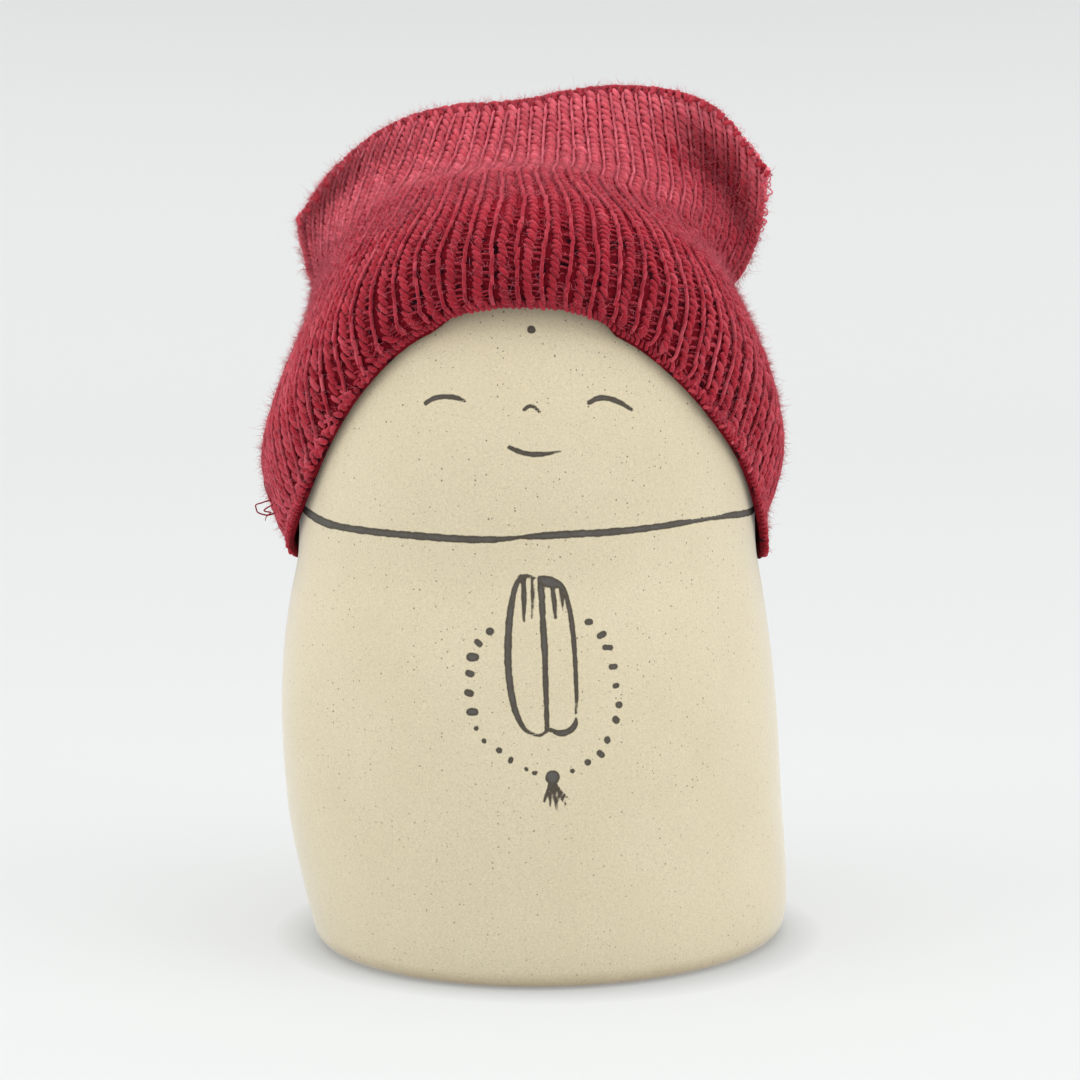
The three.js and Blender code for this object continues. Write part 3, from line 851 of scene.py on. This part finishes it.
def lay_strands(name, carrier, material, **inputs):
    """Runs the strand tree on the points and keeps the result as a plain mesh object."""
    modifier = carrier.modifiers.new("strands", "NODES")
    modifier.node_group = strand_tree()
    sockets = {
        item.name: item.identifier
        for item in modifier.node_group.interface.items_tree
        if item.item_type == "SOCKET" and item.in_out == "INPUT"
    }
    modifier[sockets["Material"]] = material
    for key, value in inputs.items():
        modifier[sockets[key.replace("_", " ")]] = value
    carrier.update_tag()
    graph = bpy.context.evaluated_depsgraph_get()
    mesh = bpy.data.meshes.new_from_object(
        carrier.evaluated_get(graph), preserve_all_data_layers=True, depsgraph=graph
    )
    carrier.modifiers.clear()
    bpy.data.objects.remove(carrier)
    mesh.name = name
    if not mesh.materials:
        mesh.materials.append(material)
    piece = bpy.data.objects.new(name, mesh)
    bpy.context.scene.collection.objects.link(piece)
    return piece


def wale_turn(wale, v, sizes):
    """Where a wale runs: wide in the cuff's front and square to the brim, then drawn in above."""
    half_count = sizes.wales / 2
    wale = wale % sizes.wales
    panel = np.floor(wale / half_count)
    s = 2 * (wale / half_count - panel) - 1
    loosened = s + sizes.cuff_spread * (1 - smooth_step(v, 0.36, 0.62)) * np.sin(math.pi * s) / math.pi
    sloped = smooth_step(np.abs(s), 0.1, 0.5) * (1 - smooth_step(np.abs(s), 0.85, 1)) * (panel == 0)
    settled = loosened - np.sign(s) * sizes.brim_turn * sloped * (1 - smooth_step(v, 0, 0.09))
    return panel + (settled + 1) / 2


def wale_frame(wale, v, sizes):
    """Place, across, up and outward directions on a wale, its width and its height for all of v."""
    def at(w, t):
        return cap_skin(wale_turn(w, t, sizes), t)

    low, high = np.clip(v - 0.008, 0, 1), np.clip(v + 0.008, 0, 1)
    up = (at(wale, high) - at(wale, low)) / (high - low)[..., None]
    across = (at(wale + 0.4, v) - at(wale - 0.4, v)) / 0.8
    height = np.linalg.norm(up, axis=-1)
    up = unit(up)
    across = across - up * np.sum(across * up, -1, keepdims=True)
    width = np.linalg.norm(across, axis=-1)
    across = unit(across)
    return at(wale, v), across, up, unit(np.cross(across, up)), width, height


def stitch_grid(sizes, rng):
    """Frames for every stitch, rows from just above the brim up to the seam."""
    wale, row = np.meshgrid(np.arange(sizes.wales) + 0.5, np.arange(1, sizes.rows) + 0.5)
    v = row / sizes.rows * TOP_ROW
    wander = 0.05 * np.sin(row * 0.35 + wale * 1.7) + rng.normal(0, 0.02, wale.shape)
    place, across, up, out, width, height = wale_frame(wale + wander, v, sizes)
    turn = wale_turn(wale, v, sizes)
    from_middle = np.abs(2 * turn - 1)
    aside = smooth_step(np.where(turn < 1, from_middle, 1), 0.5, 0.8)
    return {
        "turn": turn, "v": v, "place": place, "across": across, "up": up, "out": out, "wale": wale,
        "width": width, "height": height * TOP_ROW / sizes.rows, "pocket": pocket_shade_share(turn, v),
        "from_middle": from_middle, "aside": aside, "cuff": 1 - smooth_step(v, *CUFF_END),
        "loose": (1 - smooth_step(v, *CROWN_START)) * (1 - aside),
        "open_reach": np.minimum(0.4 * width, sizes.rope_width),
    }


def pocket_shade_share(turn, v):
    """How far a place lies in the pocket under the crown's right corner, where the wool is painted darker as
    shade.
    """
    return np.exp(-(((turn - 0.9) / 0.13) ** 2) - ((v - 0.76) / 0.14) ** 2) * (turn < 1)


def hem_grid(sizes):
    """Frames along the brim, with up square to the brim's edge."""
    wale = np.repeat(np.arange(sizes.wales), len(HEM_PLACES)) + np.tile(HEM_PLACES, sizes.wales)
    zero = np.zeros_like(wale)
    place, _, _, out, width, _ = wale_frame(wale, zero, sizes)
    edge = cap_skin(wale_turn(wale + 0.2, zero, sizes), zero) - cap_skin(
        wale_turn(wale - 0.2, zero, sizes), zero
    )
    across = unit(edge - out * np.sum(edge * out, -1, keepdims=True))
    return {"place": place, "across": across, "up": np.cross(out, across), "out": out, "width": width}


def seam_grid(sizes):
    """Frames for the stitches that close the crown: they cross the seam from front to back."""
    count = sizes.wales * 3 // 2
    turn = (np.arange(count) + 0.5) / count
    step = 0.006
    ones = np.ones(count)
    across = unit(cap_skin(np.clip(turn + step, 0, 1), ones) - cap_skin(np.clip(turn - step, 0, 1), ones))
    out = unit(np.cross(across, np.array([0.0, 1.0, 0.0])))
    return {"place": cap_skin(turn, ones), "across": across, "up": np.cross(out, across), "out": out}


def on_grid(grid, chosen, shift, out, lean, scale, rng, jitter):
    """Points for the chosen stitches, moved sideways and outward and leaned over."""
    side, up, normal = grid["across"][chosen], grid["up"][chosen], grid["out"][chosen]
    count = len(side)
    tilt = (lean + rng.normal(0, jitter, count))[:, None]
    across = side * np.cos(tilt) + up * np.sin(tilt)
    upward = up * np.cos(tilt) - side * np.sin(tilt)
    place = grid["place"][chosen] + side * shift[:, None] + normal * out[:, None]
    return place, euler_from(across, upward, normal), np.stack(scale, -1)


def knit(name, points, shades, material, strand, sides, segments):
    """Strands of one kind as one mesh."""
    place, turns, scale = points
    carrier = place_points(name, place, turns, scale, shades)
    inputs = {key: tuple(value * MM for value in strand[key]) for key in ("Start", "Middle", "End")}
    inputs["Yarn_Radius"] = strand["Yarn_Radius"] * MM
    return lay_strands(
        name, carrier, material, **inputs, End_Share=strand["End_Share"], Sides=sides, Segments=segments
    )


def stitch_tone_and_painted_light(grid, chosen, pocket, rng):
    """How much lighter or darker than the wool each chosen stitch is: a random tone, and painted light and
    shade.
    """
    v, cuff = grid["v"][chosen], grid["cuff"][chosen]
    middle = 1 - smooth_step(grid["from_middle"][chosen], 0.15, 0.5)
    painted_crest_light = smooth_step(v, 0.8, 1) * smooth_step(grid["turn"][chosen], 0.55, 0.8)
    # Painted light: the crown, its top, its top right crest and the sides lighter; painted shade: the cuff's
    # front and the right pocket darker.
    return grid["tone"][chosen] + rng.normal(0, 0.05, len(v)) + (
        0.36 * smooth_step(v, *CROWN_START) + 0.08 * smooth_step(v, 0.88, 1) + 0.2 * painted_crest_light
        + 0.08 * grid["aside"][chosen] + cuff * (0.06 - 0.14 * middle) - pocket * grid["pocket"][chosen]
    )


def rope_points(grid, chosen, noise, rng):
    """Slanted strands: half as wide as the wale on the crown, narrower where the rib stands open."""
    width, height, open_rib = (grid[key][chosen] for key in ("width", "height", "loose"))
    reach = open_rib * grid["open_reach"][chosen] + (1 - open_rib) * 0.5 * width
    shift = (-0.1 - 0.1 * open_rib + 0.02 * noise) * width
    scale = (reach, height, 1 + 0.1 * noise)
    return on_grid(grid, chosen, shift, -0.58 + 0.05 * noise, 0, scale, rng, 0.09)


def post_points(grid, chosen, noise, rng):
    """Upright strands at the edge of each rope: thin on the crown, full in the open rib."""
    width, height, open_rib = (grid[key][chosen] for key in ("width", "height", "loose"))
    girth = 0.7 + 0.3 * open_rib + 0.1 * open_rib * (1 - grid["cuff"][chosen])
    scale = (girth, height, (0.8 + 0.2 * open_rib) * (1 + 0.05 * noise))
    shift = (0.42 - 0.06 * open_rib) * width + 0.02 * noise
    return on_grid(grid, chosen, shift, -0.42 + 0.03 * noise, 0, scale, rng, 0.05)


def bar_points(grid, chosen, noise, rng):
    """Thin yarn that crosses the ground of the open rib."""
    width, height = grid["width"][chosen], grid["height"][chosen]
    scale = (0.42 * width, height * (1 + 0.2 * noise), np.ones_like(width))
    return on_grid(grid, chosen, 0.1 * width, -0.72 + 0.08 * noise, 0, scale, rng, 0.12)


# Each family's points, strand, change of shade, and the sides and segments in front and behind
FAMILIES = {
    "rope": (rope_points, ROPE, 0.0, {"front": (6, 4), "back": (4, 3)}),
    "post": (post_points, POST, 0.08, {"front": (5, 4), "back": (4, 3)}),
    "bar": (bar_points, BAR, -0.12, {"front": (4, 3), "back": (4, 3)}),
}


def build_stitches(sizes, yarn, rng):
    """The ribs: a rope and a post for each stitch, and bars where the cuff stands open."""
    grid = stitch_grid(sizes, rng)
    v, turn, shape = grid["v"], grid["turn"], grid["v"].shape
    ragged = grid["aside"] + rng.normal(0, 0.2, shape) < 0.5
    open_gap = (v < 0.39) & ragged & (rng.random(shape) < 0.88)
    fold = np.abs(turn - np.round(turn))
    lined = (v < 0.96) & ((fold > 0.02) | (v < 0.55))
    grid["tone"] = rng.normal(0, 0.06, shape) + 0.04 * np.sin(grid["wale"] * 2.3)
    masks = {"rope": np.ones(shape, bool), "post": lined, "bar": open_gap}
    pieces = []
    for side, half in (("front", turn < 1), ("back", turn >= 1)):
        for family, (points_of, strand, shade, meshes) in FAMILIES.items():
            chosen = half & masks[family]
            if not chosen.any():
                continue
            noise = rng.normal(0, 1, np.count_nonzero(chosen))
            shades = stitch_tone_and_painted_light(grid, chosen, sizes.pocket, rng) + shade
            points = points_of(grid, chosen, noise, rng)
            pieces.append(knit(f"knit_{family}_{side}", points, shades, yarn, strand, *meshes[side]))
    return pieces


def build_hem(sizes, yarn, rng):
    """Loops that close the brim's edge."""
    hem = hem_grid(sizes)
    count = len(hem["width"])
    noise, every = rng.normal(0, 1, count), np.ones(count, bool)
    girth = np.tile(HEM_GIRTHS, sizes.wales) * np.clip(hem["width"] / 3.6, 0.75, 1.1)
    scale = (girth, 1 + 0.1 * noise, 0.75 + 0.05 * noise[::-1])
    hem["place"] = hem["place"] + HEM_RAISED * hem["up"]
    points = on_grid(hem, every, 0 * noise, 0.08 * noise - 0.1, 0.25, scale, rng, 0.15)
    # The hem loops are painted darker, as shade where the brim's edge turns under.
    return knit("knit_hem", points, 0.09 * noise - 0.14, yarn, HEM_LOOP, 6, 5)


def build_seam(sizes, yarn, rng):
    """Stitches over the crown's top edge, leaning left and right by turns."""
    seam = seam_grid(sizes)
    count = len(seam["place"])
    noise, every = rng.normal(0, 1, count), np.ones(count, bool)
    lean = 0.5 * np.sign(np.arange(count) % 2 - 0.5)
    scale = (1 + 0.1 * noise, 1 + 0.06 * noise, 1 + 0.05 * noise)
    points = on_grid(seam, every, 0 * noise, -0.62 + 0.06 * noise, lean, scale, rng, 0.25)
    return knit("knit_seam", points, 0.08 * noise, yarn, SEAM_STITCH, 6, 6)


def build_knitting(sizes):
    """Every stitch, loop and loose fibre of the cap, as a list of pieces."""
    rng = np.random.default_rng(sizes.seed)
    bloom = (*sizes.bloom, 1.0)
    yarn = wool_material("Wool_Yarn", (*sizes.yarn, 1.0), bloom, sizes.sheen, 0.8, 0.55)
    pieces = build_stitches(sizes, yarn, rng)
    pieces += [build_hem(sizes, yarn, rng), build_seam(sizes, yarn, rng)]
    # The loose fibres are paler than the yarn: a painted sheen for the haze of light they catch.
    pale = wool_material("Wool_Fuzz", (*sizes.fuzz, 1.0), bloom, 0.4, 0.1, 0.0)
    pieces += build_fuzz(sizes, pale)
    pieces += [build_overlock(sizes, pale), build_loose_thread(yarn)]
    for piece in pieces:
        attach(piece, "root")
    return pieces


def tube(path, radii, sides=8):
    """A closed tube of quads and end fans along a smooth path of (x, y, z) points."""
    table = np.asarray(path, float)
    travelled = np.concatenate([[0], np.cumsum(np.linalg.norm(np.diff(table, axis=0), axis=1))])
    at = np.linspace(0, travelled[-1], max(int(travelled[-1] / 0.15), 8))
    centre = np.stack(through(np.column_stack([travelled, table]), at), -1)
    ahead = unit(np.gradient(centre, axis=0))
    side = unit(np.cross(ahead, np.array([0.13, 1.0, 0.07])))
    over = np.cross(side, ahead)
    turn = np.arange(sides) * 2 * math.pi / sides
    radius = np.interp(np.linspace(0, 1, len(at)), np.linspace(0, 1, len(radii)), radii)
    ring = side[:, None] * np.cos(turn)[None, :, None] + over[:, None] * np.sin(turn)[None, :, None]
    points = (centre[:, None] + ring * radius[:, None, None]).reshape(-1, 3)
    count = len(at)
    faces = [quad[::-1] for quad in grid_faces(count, sides).tolist()]
    points = np.concatenate([points, centre[:1], centre[-1:]])
    first, last, final = count * sides, count * sides + 1, (count - 1) * sides
    for i in range(sides):
        after = (i + 1) % sides
        faces.append([first, i, after])
        faces.append([last, final + after, final + i])
    return points, faces


def build_loose_thread(material):
    """The yarn end that has come loose at the left of the brim."""
    strands = [
        ([(-45.0, -0.5, 77.6), (-46.6, -0.2, 75.6), (-46.25, -0.4, 73.8), (-45.4, -0.9, 72.3)], [0.1, 0.1]),
        ([(-44.6, -1.0, 72.3), (-45.9, -1.1, 72.45), (-47.1, -1.2, 72.1), (-48.0, -1.1, 71.75),
          (-47.95, -0.9, 71.05), (-47.75, -0.7, 70.5), (-46.8, -0.6, 70.1), (-46.0, -0.8, 70.05),
          (-44.6, -1.2, 70.5)], [0.2, 0.15, 0.14, 0.17, 0.2]),
        ([(-45.6, -1.0, 70.4), (-46.3, -1.0, 69.8), (-46.5, -0.9, 69.1)], [0.14, 0.07]),
        ([(-44.9, -1.6, 72.0), (-46.1, -2.0, 71.4), (-46.6, -1.9, 70.9), (-45.4, -1.8, 70.6)], [0.16, 0.14]),
    ]
    points, faces = [], []
    for path, radii in strands:
        part, quads = tube(path, 0.8 * np.array(radii))
        faces += [[corner + len(points) for corner in quad] for quad in quads]
        points += list(part)
    thread = new_piece("loose_thread", points, faces, material)
    point_attribute(thread.data, "shade", np.full(len(points), -0.35))
    return thread


def build_overlock(sizes, material):
    """Small pale loops of seam yarn at the crown's right corner."""
    rng = np.random.default_rng(sizes.seed + 2)
    turn = np.concatenate([np.full(13, 0.995), np.linspace(0.935, 0.99, 7)]) + rng.normal(0, 0.004, 20)
    v = np.concatenate([np.linspace(0.8, 0.985, 13), np.full(7, 0.985)]) + rng.normal(0, 0.004, 20)
    place, across, up, out = cap_frame(turn, v)
    grid = {"place": place, "across": across, "up": up, "out": out}
    noise, every = rng.normal(0, 1, 20), np.ones(20, bool)
    scale = (1 + 0.2 * noise, 1 + 0.15 * noise, 1 + 0.2 * noise)
    points = on_grid(grid, every, 0.2 * noise, -0.2 + 0.1 * noise, 0.5, scale, rng, 0.5)
    return knit("overlock_loops", points, 0.1 * noise + 0.1, material, OVERLOCK_LOOP, 5, 7)


# Loose fibres: how many, their bends and their length in millimetres
FUZZ = {"low": (19500, 1, 1.1), "high": (19500, 1, 1.4), "long": (5000, 2, 2.2)}


def fuzz_roots(count, rng):
    """Random places on the cap: more on the crown and the sides than on the cuff's front."""
    turn, v = rng.uniform(0, 2, 5 * count), rng.uniform(0, 1, 5 * count) ** 0.8
    chance = np.where(turn < 1, 1.0, 0.4) * np.where((np.abs(2 * turn - 1) < 0.55) & (v < 0.42), 0.3, 1)
    kept = np.flatnonzero(rng.random(len(turn)) < chance)[:count]
    return turn[kept], v[kept]


def build_fuzz(sizes, wool):
    """Loose fibres that stand off the yarn: three-sided hairs, bent and drawn to a point."""
    rng = np.random.default_rng(sizes.seed + 1)
    pieces = []
    for name, (count, bends, length) in FUZZ.items():
        turn, v = fuzz_roots(count, rng)
        place, across, up, out = cap_frame(turn, v)
        spin = rng.uniform(-math.pi, math.pi, (count, 1))
        flat = across * np.cos(spin) + up * np.sin(spin)
        rise = rng.uniform(0.1, 1.3, (count, 1))
        ahead = unit(flat * np.cos(rise) + out * np.sin(rise))
        step = length / (bends + 1) * np.clip(rng.lognormal(0, 0.3, (count, 1)), 0.5, 1.8)
        side = unit(np.cross(ahead, up + 0.3 * across))
        over = np.cross(ahead, side)
        corner = place - out * 0.3
        rings = []
        for bend in range(bends + 1):
            for at in range(3):
                swing = at * 2 * math.pi / 3
                reach = sizes.fibre * (1 - 0.3 * bend)
                rings.append(corner + (side * math.cos(swing) + over * math.sin(swing)) * reach)
            corner = corner + ahead * step
            ahead = unit(ahead + rng.normal(0, 0.55, (count, 3)))
        points = np.stack(rings + [corner], 1)
        size = points.shape[1]
        faces = [(2, 1, 0)]
        for bend in range(bends):
            low, high = 3 * bend, 3 * bend + 3
            for i in range(3):
                j = (i + 1) % 3
                faces += [(low + i, low + j, high + j), (low + i, high + j, high + i)]
        faces += [(3 * bends + i, 3 * bends + (i + 1) % 3, size - 1) for i in range(3)]
        all_faces = (np.array(faces)[None] + size * np.arange(count)[:, None, None]).reshape(-1, 3)
        hairs = new_piece(f"fuzz_{name}", points.reshape(-1, 3), all_faces.tolist(), wool)
        point_attribute(hairs.data, "shade", np.repeat(rng.normal(0, 0.12, count), size))
        pieces.append(hairs)
    return pieces


# Registration of the sizes, the operators and the panel

class FIGURINE_PG_clay(bpy.types.PropertyGroup):
    """Colours of the clay and of the brushed lines"""

    clay: FloatVectorProperty(
        name="Clay", description="Colour of the fired clay", subtype="COLOR",
        default=colour((224, 213, 184))[:3], min=0, max=1,
    )
    ink: FloatVectorProperty(
        name="Ink", description="Colour of the brushed lines", subtype="COLOR",
        default=colour((64, 56, 49))[:3], min=0, max=1,
    )


class FIGURINE_PG_cap(bpy.types.PropertyGroup):
    """Sizes and colours of the knitted cap"""

    ground_depth: FloatProperty(
        name="Ground depth", description="How far the ground cloth lies under the yarn, in mm",
        default=0.85, min=0.3, max=1.5,
    )
    wales: IntProperty(
        name="Wales", description="Columns of stitches round the cap", default=76, min=20, max=200,
    )
    rows: IntProperty(
        name="Rows", description="Rows of stitches from the brim to the seam", default=52, min=10, max=150,
    )
    rope_width: FloatProperty(
        name="Rope width", description="Widest slanted strand, in mm", default=1.08, min=0.3, max=3,
    )
    cuff_spread: FloatProperty(
        name="Cuff spread", description="How much wider the wales are at the cuff's front",
        default=0.17, min=0, max=0.4,
    )
    brim_turn: FloatProperty(
        name="Brim turn", description="How far wales swing to meet the brim squarely",
        default=0.045, min=0, max=0.1,
    )
    # Painted shade: how much darker the wool is painted in the crown's right pocket
    pocket: FloatProperty(
        name="Pocket", description="How much darker the wool is in the crown's right pocket",
        default=0.58, min=0, max=0.9,
    )
    sheen: FloatProperty(
        name="Sheen", description="Strength of the soft bloom on the yarn", default=0.4, min=0, max=1,
    )
    fibre: FloatProperty(
        name="Fibre", description="Radius of a loose fibre, in mm", default=0.026, min=0.005, max=0.1,
    )
    fuzz: FloatVectorProperty(
        name="Fuzz", description="Colour of the loose fibres", subtype="COLOR",
        default=colour((224, 116, 130))[:3], min=0, max=1,
    )
    seed: IntProperty(name="Seed", description="Fixes the hand of the knitting", default=11)
    ground: FloatVectorProperty(
        name="Ground", description="Colour between the stitches", subtype="COLOR",
        default=colour((142, 30, 44))[:3], min=0, max=1,
    )
    yarn: FloatVectorProperty(
        name="Yarn", description="Colour of the wool", subtype="COLOR",
        default=colour((172, 38, 54))[:3], min=0, max=1,
    )
    bloom: FloatVectorProperty(
        name="Bloom", description="Colour of the soft sheen of loose fibres", subtype="COLOR",
        default=colour((244, 150, 162))[:3], min=0, max=1,
    )


class FIGURINE_PG_studio(bpy.types.PropertyGroup):
    """Camera and light"""

    distance: FloatProperty(
        name="Camera distance", description="From the lens to the figure's axis",
        default=0.56, min=0.1, unit="LENGTH",
    )
    height: FloatProperty(
        name="Camera height", description="Above the surface", default=0.145, min=0, unit="LENGTH",
    )
    pitch: FloatProperty(
        name="Camera pitch", description="Downward tilt", default=math.radians(8.05), unit="ROTATION",
    )
    lens: FloatProperty(name="Lens", description="Focal length in mm", default=114.57, min=20)


class FIGURINE_OT_body(bpy.types.Operator):
    """Build the stoneware figure with its painted lines"""

    bl_idname = "figurine.body"
    bl_label = "Stoneware body"

    def execute(self, context):
        build_figure(context.scene.figurine_clay)
        return {"FINISHED"}


class FIGURINE_OT_cap(bpy.types.Operator):
    """Build the cap: its ground cloth and every stitch"""

    bl_idname = "figurine.cap"
    bl_label = "Knitted cap"

    def execute(self, context):
        sizes = context.scene.figurine_cap
        cloth = build_cloth(sizes)
        knitting = build_knitting(sizes)
        return {"FINISHED"}


class FIGURINE_OT_studio(bpy.types.Operator):
    """Lay the paper dish, set the lights and the camera"""

    bl_idname = "figurine.studio"
    bl_label = "Studio"

    def execute(self, context):
        build_studio(context.scene.figurine_studio)
        return {"FINISHED"}


class FIGURINE_PT_panel(bpy.types.Panel):
    """Lists the figurine's operators"""

    bl_label = "Figurine"
    bl_idname = "FIGURINE_PT_panel"
    bl_space_type = "VIEW_3D"
    bl_region_type = "UI"
    bl_category = "Figurine"

    def draw(self, context):
        for operator in OPERATORS:
            self.layout.operator(operator.bl_idname)


# The studio, in metres: a round paper floor that is flat, then rises to a rim
DISH_FLAT = 0.8
DISH_RIM = 1.4
DISH_CURVE = 1.2
# The paper's own glow, what it gains away from the lamps and what it loses up the rim
GLOW, GLOW_GAIN, GLOW_LOSS = 0.42, 0.13, 0.07
GAIN_START, GAIN_REACH = 0.26, 0.9
LOSS_HEIGHT = 0.17
# Where the figure stands on it the paper's glow is cut back: a painted contact shadow
CONTACT_SHADOW_REACH, CONTACT_SHADOW_FADE, CONTACT_SHADOW_SHARE = 0.039, 0.007, 0.4
# Each lamp's place, the point it faces, its size and its power in watts
LAMPS = {
    "top_softbox": ((0.0, -0.1, 0.85), (0, 0.0, 0.05), (1.1, 0.9), 6.2),
    "left_softbox": ((-0.9, -0.3, 0.45), (0, 0, 0.06), (0.8, 0.9), 3.2),
    "right_softbox": ((0.9, -0.35, 0.45), (0, 0, 0.06), (0.8, 0.9), 3.7),
    "back_softbox": ((0, 0.95, 0.7), (0, 0, 0.06), (1.8, 0.8), 1.5),
}
WORLD_STRENGTH = 0.4
CAMERA_X = -1.4 * MM


def paper_material():
    """Pale paper that glows a little: more where the lamps fall off, less up the rim, and less close round
    the figure's foot as a painted contact shadow.
    """
    material, n, shader = new_material("Paper_Floor")
    place = n.add("ShaderNodeTexCoord").outputs["Object"]
    height = n.add("ShaderNodeSeparateXYZ", {"Vector": place}).outputs["Z"]
    spread = n.add("ShaderNodeVectorMath", {0: place}, operation="LENGTH").outputs["Value"]
    far = n.math("DIVIDE", n.math("SUBTRACT", spread, GAIN_START), GAIN_REACH, clamp=True)
    rise = n.math("DIVIDE", height, LOSS_HEIGHT, clamp=True)
    glow = n.math("ADD", GLOW, n.math("MULTIPLY", far, GLOW_GAIN))
    glow = n.math("SUBTRACT", glow, n.math("MULTIPLY", rise, GLOW_LOSS))
    # Painted contact shadow: the glow is cut back close round the figure's foot.
    past = n.math("DIVIDE", n.math("SUBTRACT", spread, CONTACT_SHADOW_REACH), CONTACT_SHADOW_FADE)
    close = n.math("SUBTRACT", 1.0, past, clamp=True)
    glow = n.math("MULTIPLY", glow, n.math("SUBTRACT", 1.0, n.math("MULTIPLY", close, CONTACT_SHADOW_SHARE)))
    n.feed(shader.inputs["Base Color"], colour((166, 168, 168)))
    n.feed(shader.inputs["Roughness"], 0.9)
    n.feed(shader.inputs["Specular IOR Level"], 0.1)
    n.feed(shader.inputs["Emission Color"], (0.985, 1.0, 0.995, 1.0))
    n.feed(shader.inputs["Emission Strength"], glow)
    return material


def build_paper():
    """The floor: rings out to the rim, closed by a fan in the middle."""
    columns = 96
    reach = np.concatenate([[0.2, 0.5], np.linspace(DISH_FLAT, DISH_RIM, 16)])[:, None]
    rise = np.clip(reach - DISH_FLAT, 0, None) ** 2 / DISH_CURVE
    swing = np.arange(columns) * 2 * math.pi / columns
    rings = np.stack(
        np.broadcast_arrays(reach * np.cos(swing), reach * np.sin(swing), rise), -1
    ).reshape(-1, 3)
    points = np.concatenate([rings, [[0, 0, 0]]]) / MM
    faces = [quad[::-1] for quad in grid_faces(len(reach), columns).tolist()]
    faces += [[len(rings), i, (i + 1) % columns] for i in range(columns)]
    new_piece("paper_dish", points, faces, paper_material())


def add_lamp(name, place, aim, size, power):
    lamp = bpy.data.lights.new(name, "AREA")
    lamp.shape = "RECTANGLE"
    lamp.size, lamp.size_y = size
    lamp.energy = power
    holder = bpy.data.objects.new(name, lamp)
    holder.location = place
    holder.rotation_euler = (Vector(aim) - Vector(place)).to_track_quat("-Z", "Y").to_euler()
    bpy.context.scene.collection.objects.link(holder)


def add_world():
    world = bpy.data.worlds.new("studio")
    world.use_nodes = True
    background = world.node_tree.nodes["Background"]
    background.inputs["Color"].default_value = (1.0, 1.0, 1.0, 1.0)
    background.inputs["Strength"].default_value = WORLD_STRENGTH
    bpy.context.scene.world = world


def add_camera(sizes):
    lens = bpy.data.cameras.new("camera")
    lens.lens = sizes.lens
    lens.sensor_width = 36.0
    camera = bpy.data.objects.new("camera", lens)
    camera.location = (CAMERA_X, -sizes.distance, sizes.height)
    camera.rotation_euler = (math.pi / 2 - sizes.pitch, 0, 0)
    bpy.context.scene.collection.objects.link(camera)
    bpy.context.scene.camera = camera


def build_studio(sizes):
    build_paper()
    for name, settings in LAMPS.items():
        add_lamp(name, *settings)
    add_world()
    bpy.context.scene.view_settings.view_transform = "Standard"
    add_camera(sizes)


SIZE_GROUPS = (
    ("figurine_clay", FIGURINE_PG_clay),
    ("figurine_cap", FIGURINE_PG_cap),
    ("figurine_studio", FIGURINE_PG_studio),
)
OPERATORS = (FIGURINE_OT_studio, FIGURINE_OT_body, FIGURINE_OT_cap)


def register():
    for name, group in SIZE_GROUPS:
        bpy.utils.register_class(group)
        setattr(bpy.types.Scene, name, PointerProperty(type=group))
    for operator in (*OPERATORS, FIGURINE_PT_panel):
        bpy.utils.register_class(operator)


def unregister():
    for operator in (FIGURINE_PT_panel, *reversed(OPERATORS)):
        bpy.utils.unregister_class(operator)
    for name, group in reversed(SIZE_GROUPS):
        delattr(bpy.types.Scene, name)
        bpy.utils.unregister_class(group)


def main():
    register()
    bpy.ops.figurine.studio()
    bpy.ops.figurine.body()
    bpy.ops.figurine.cap()


if __name__ == "__main__":
    main()
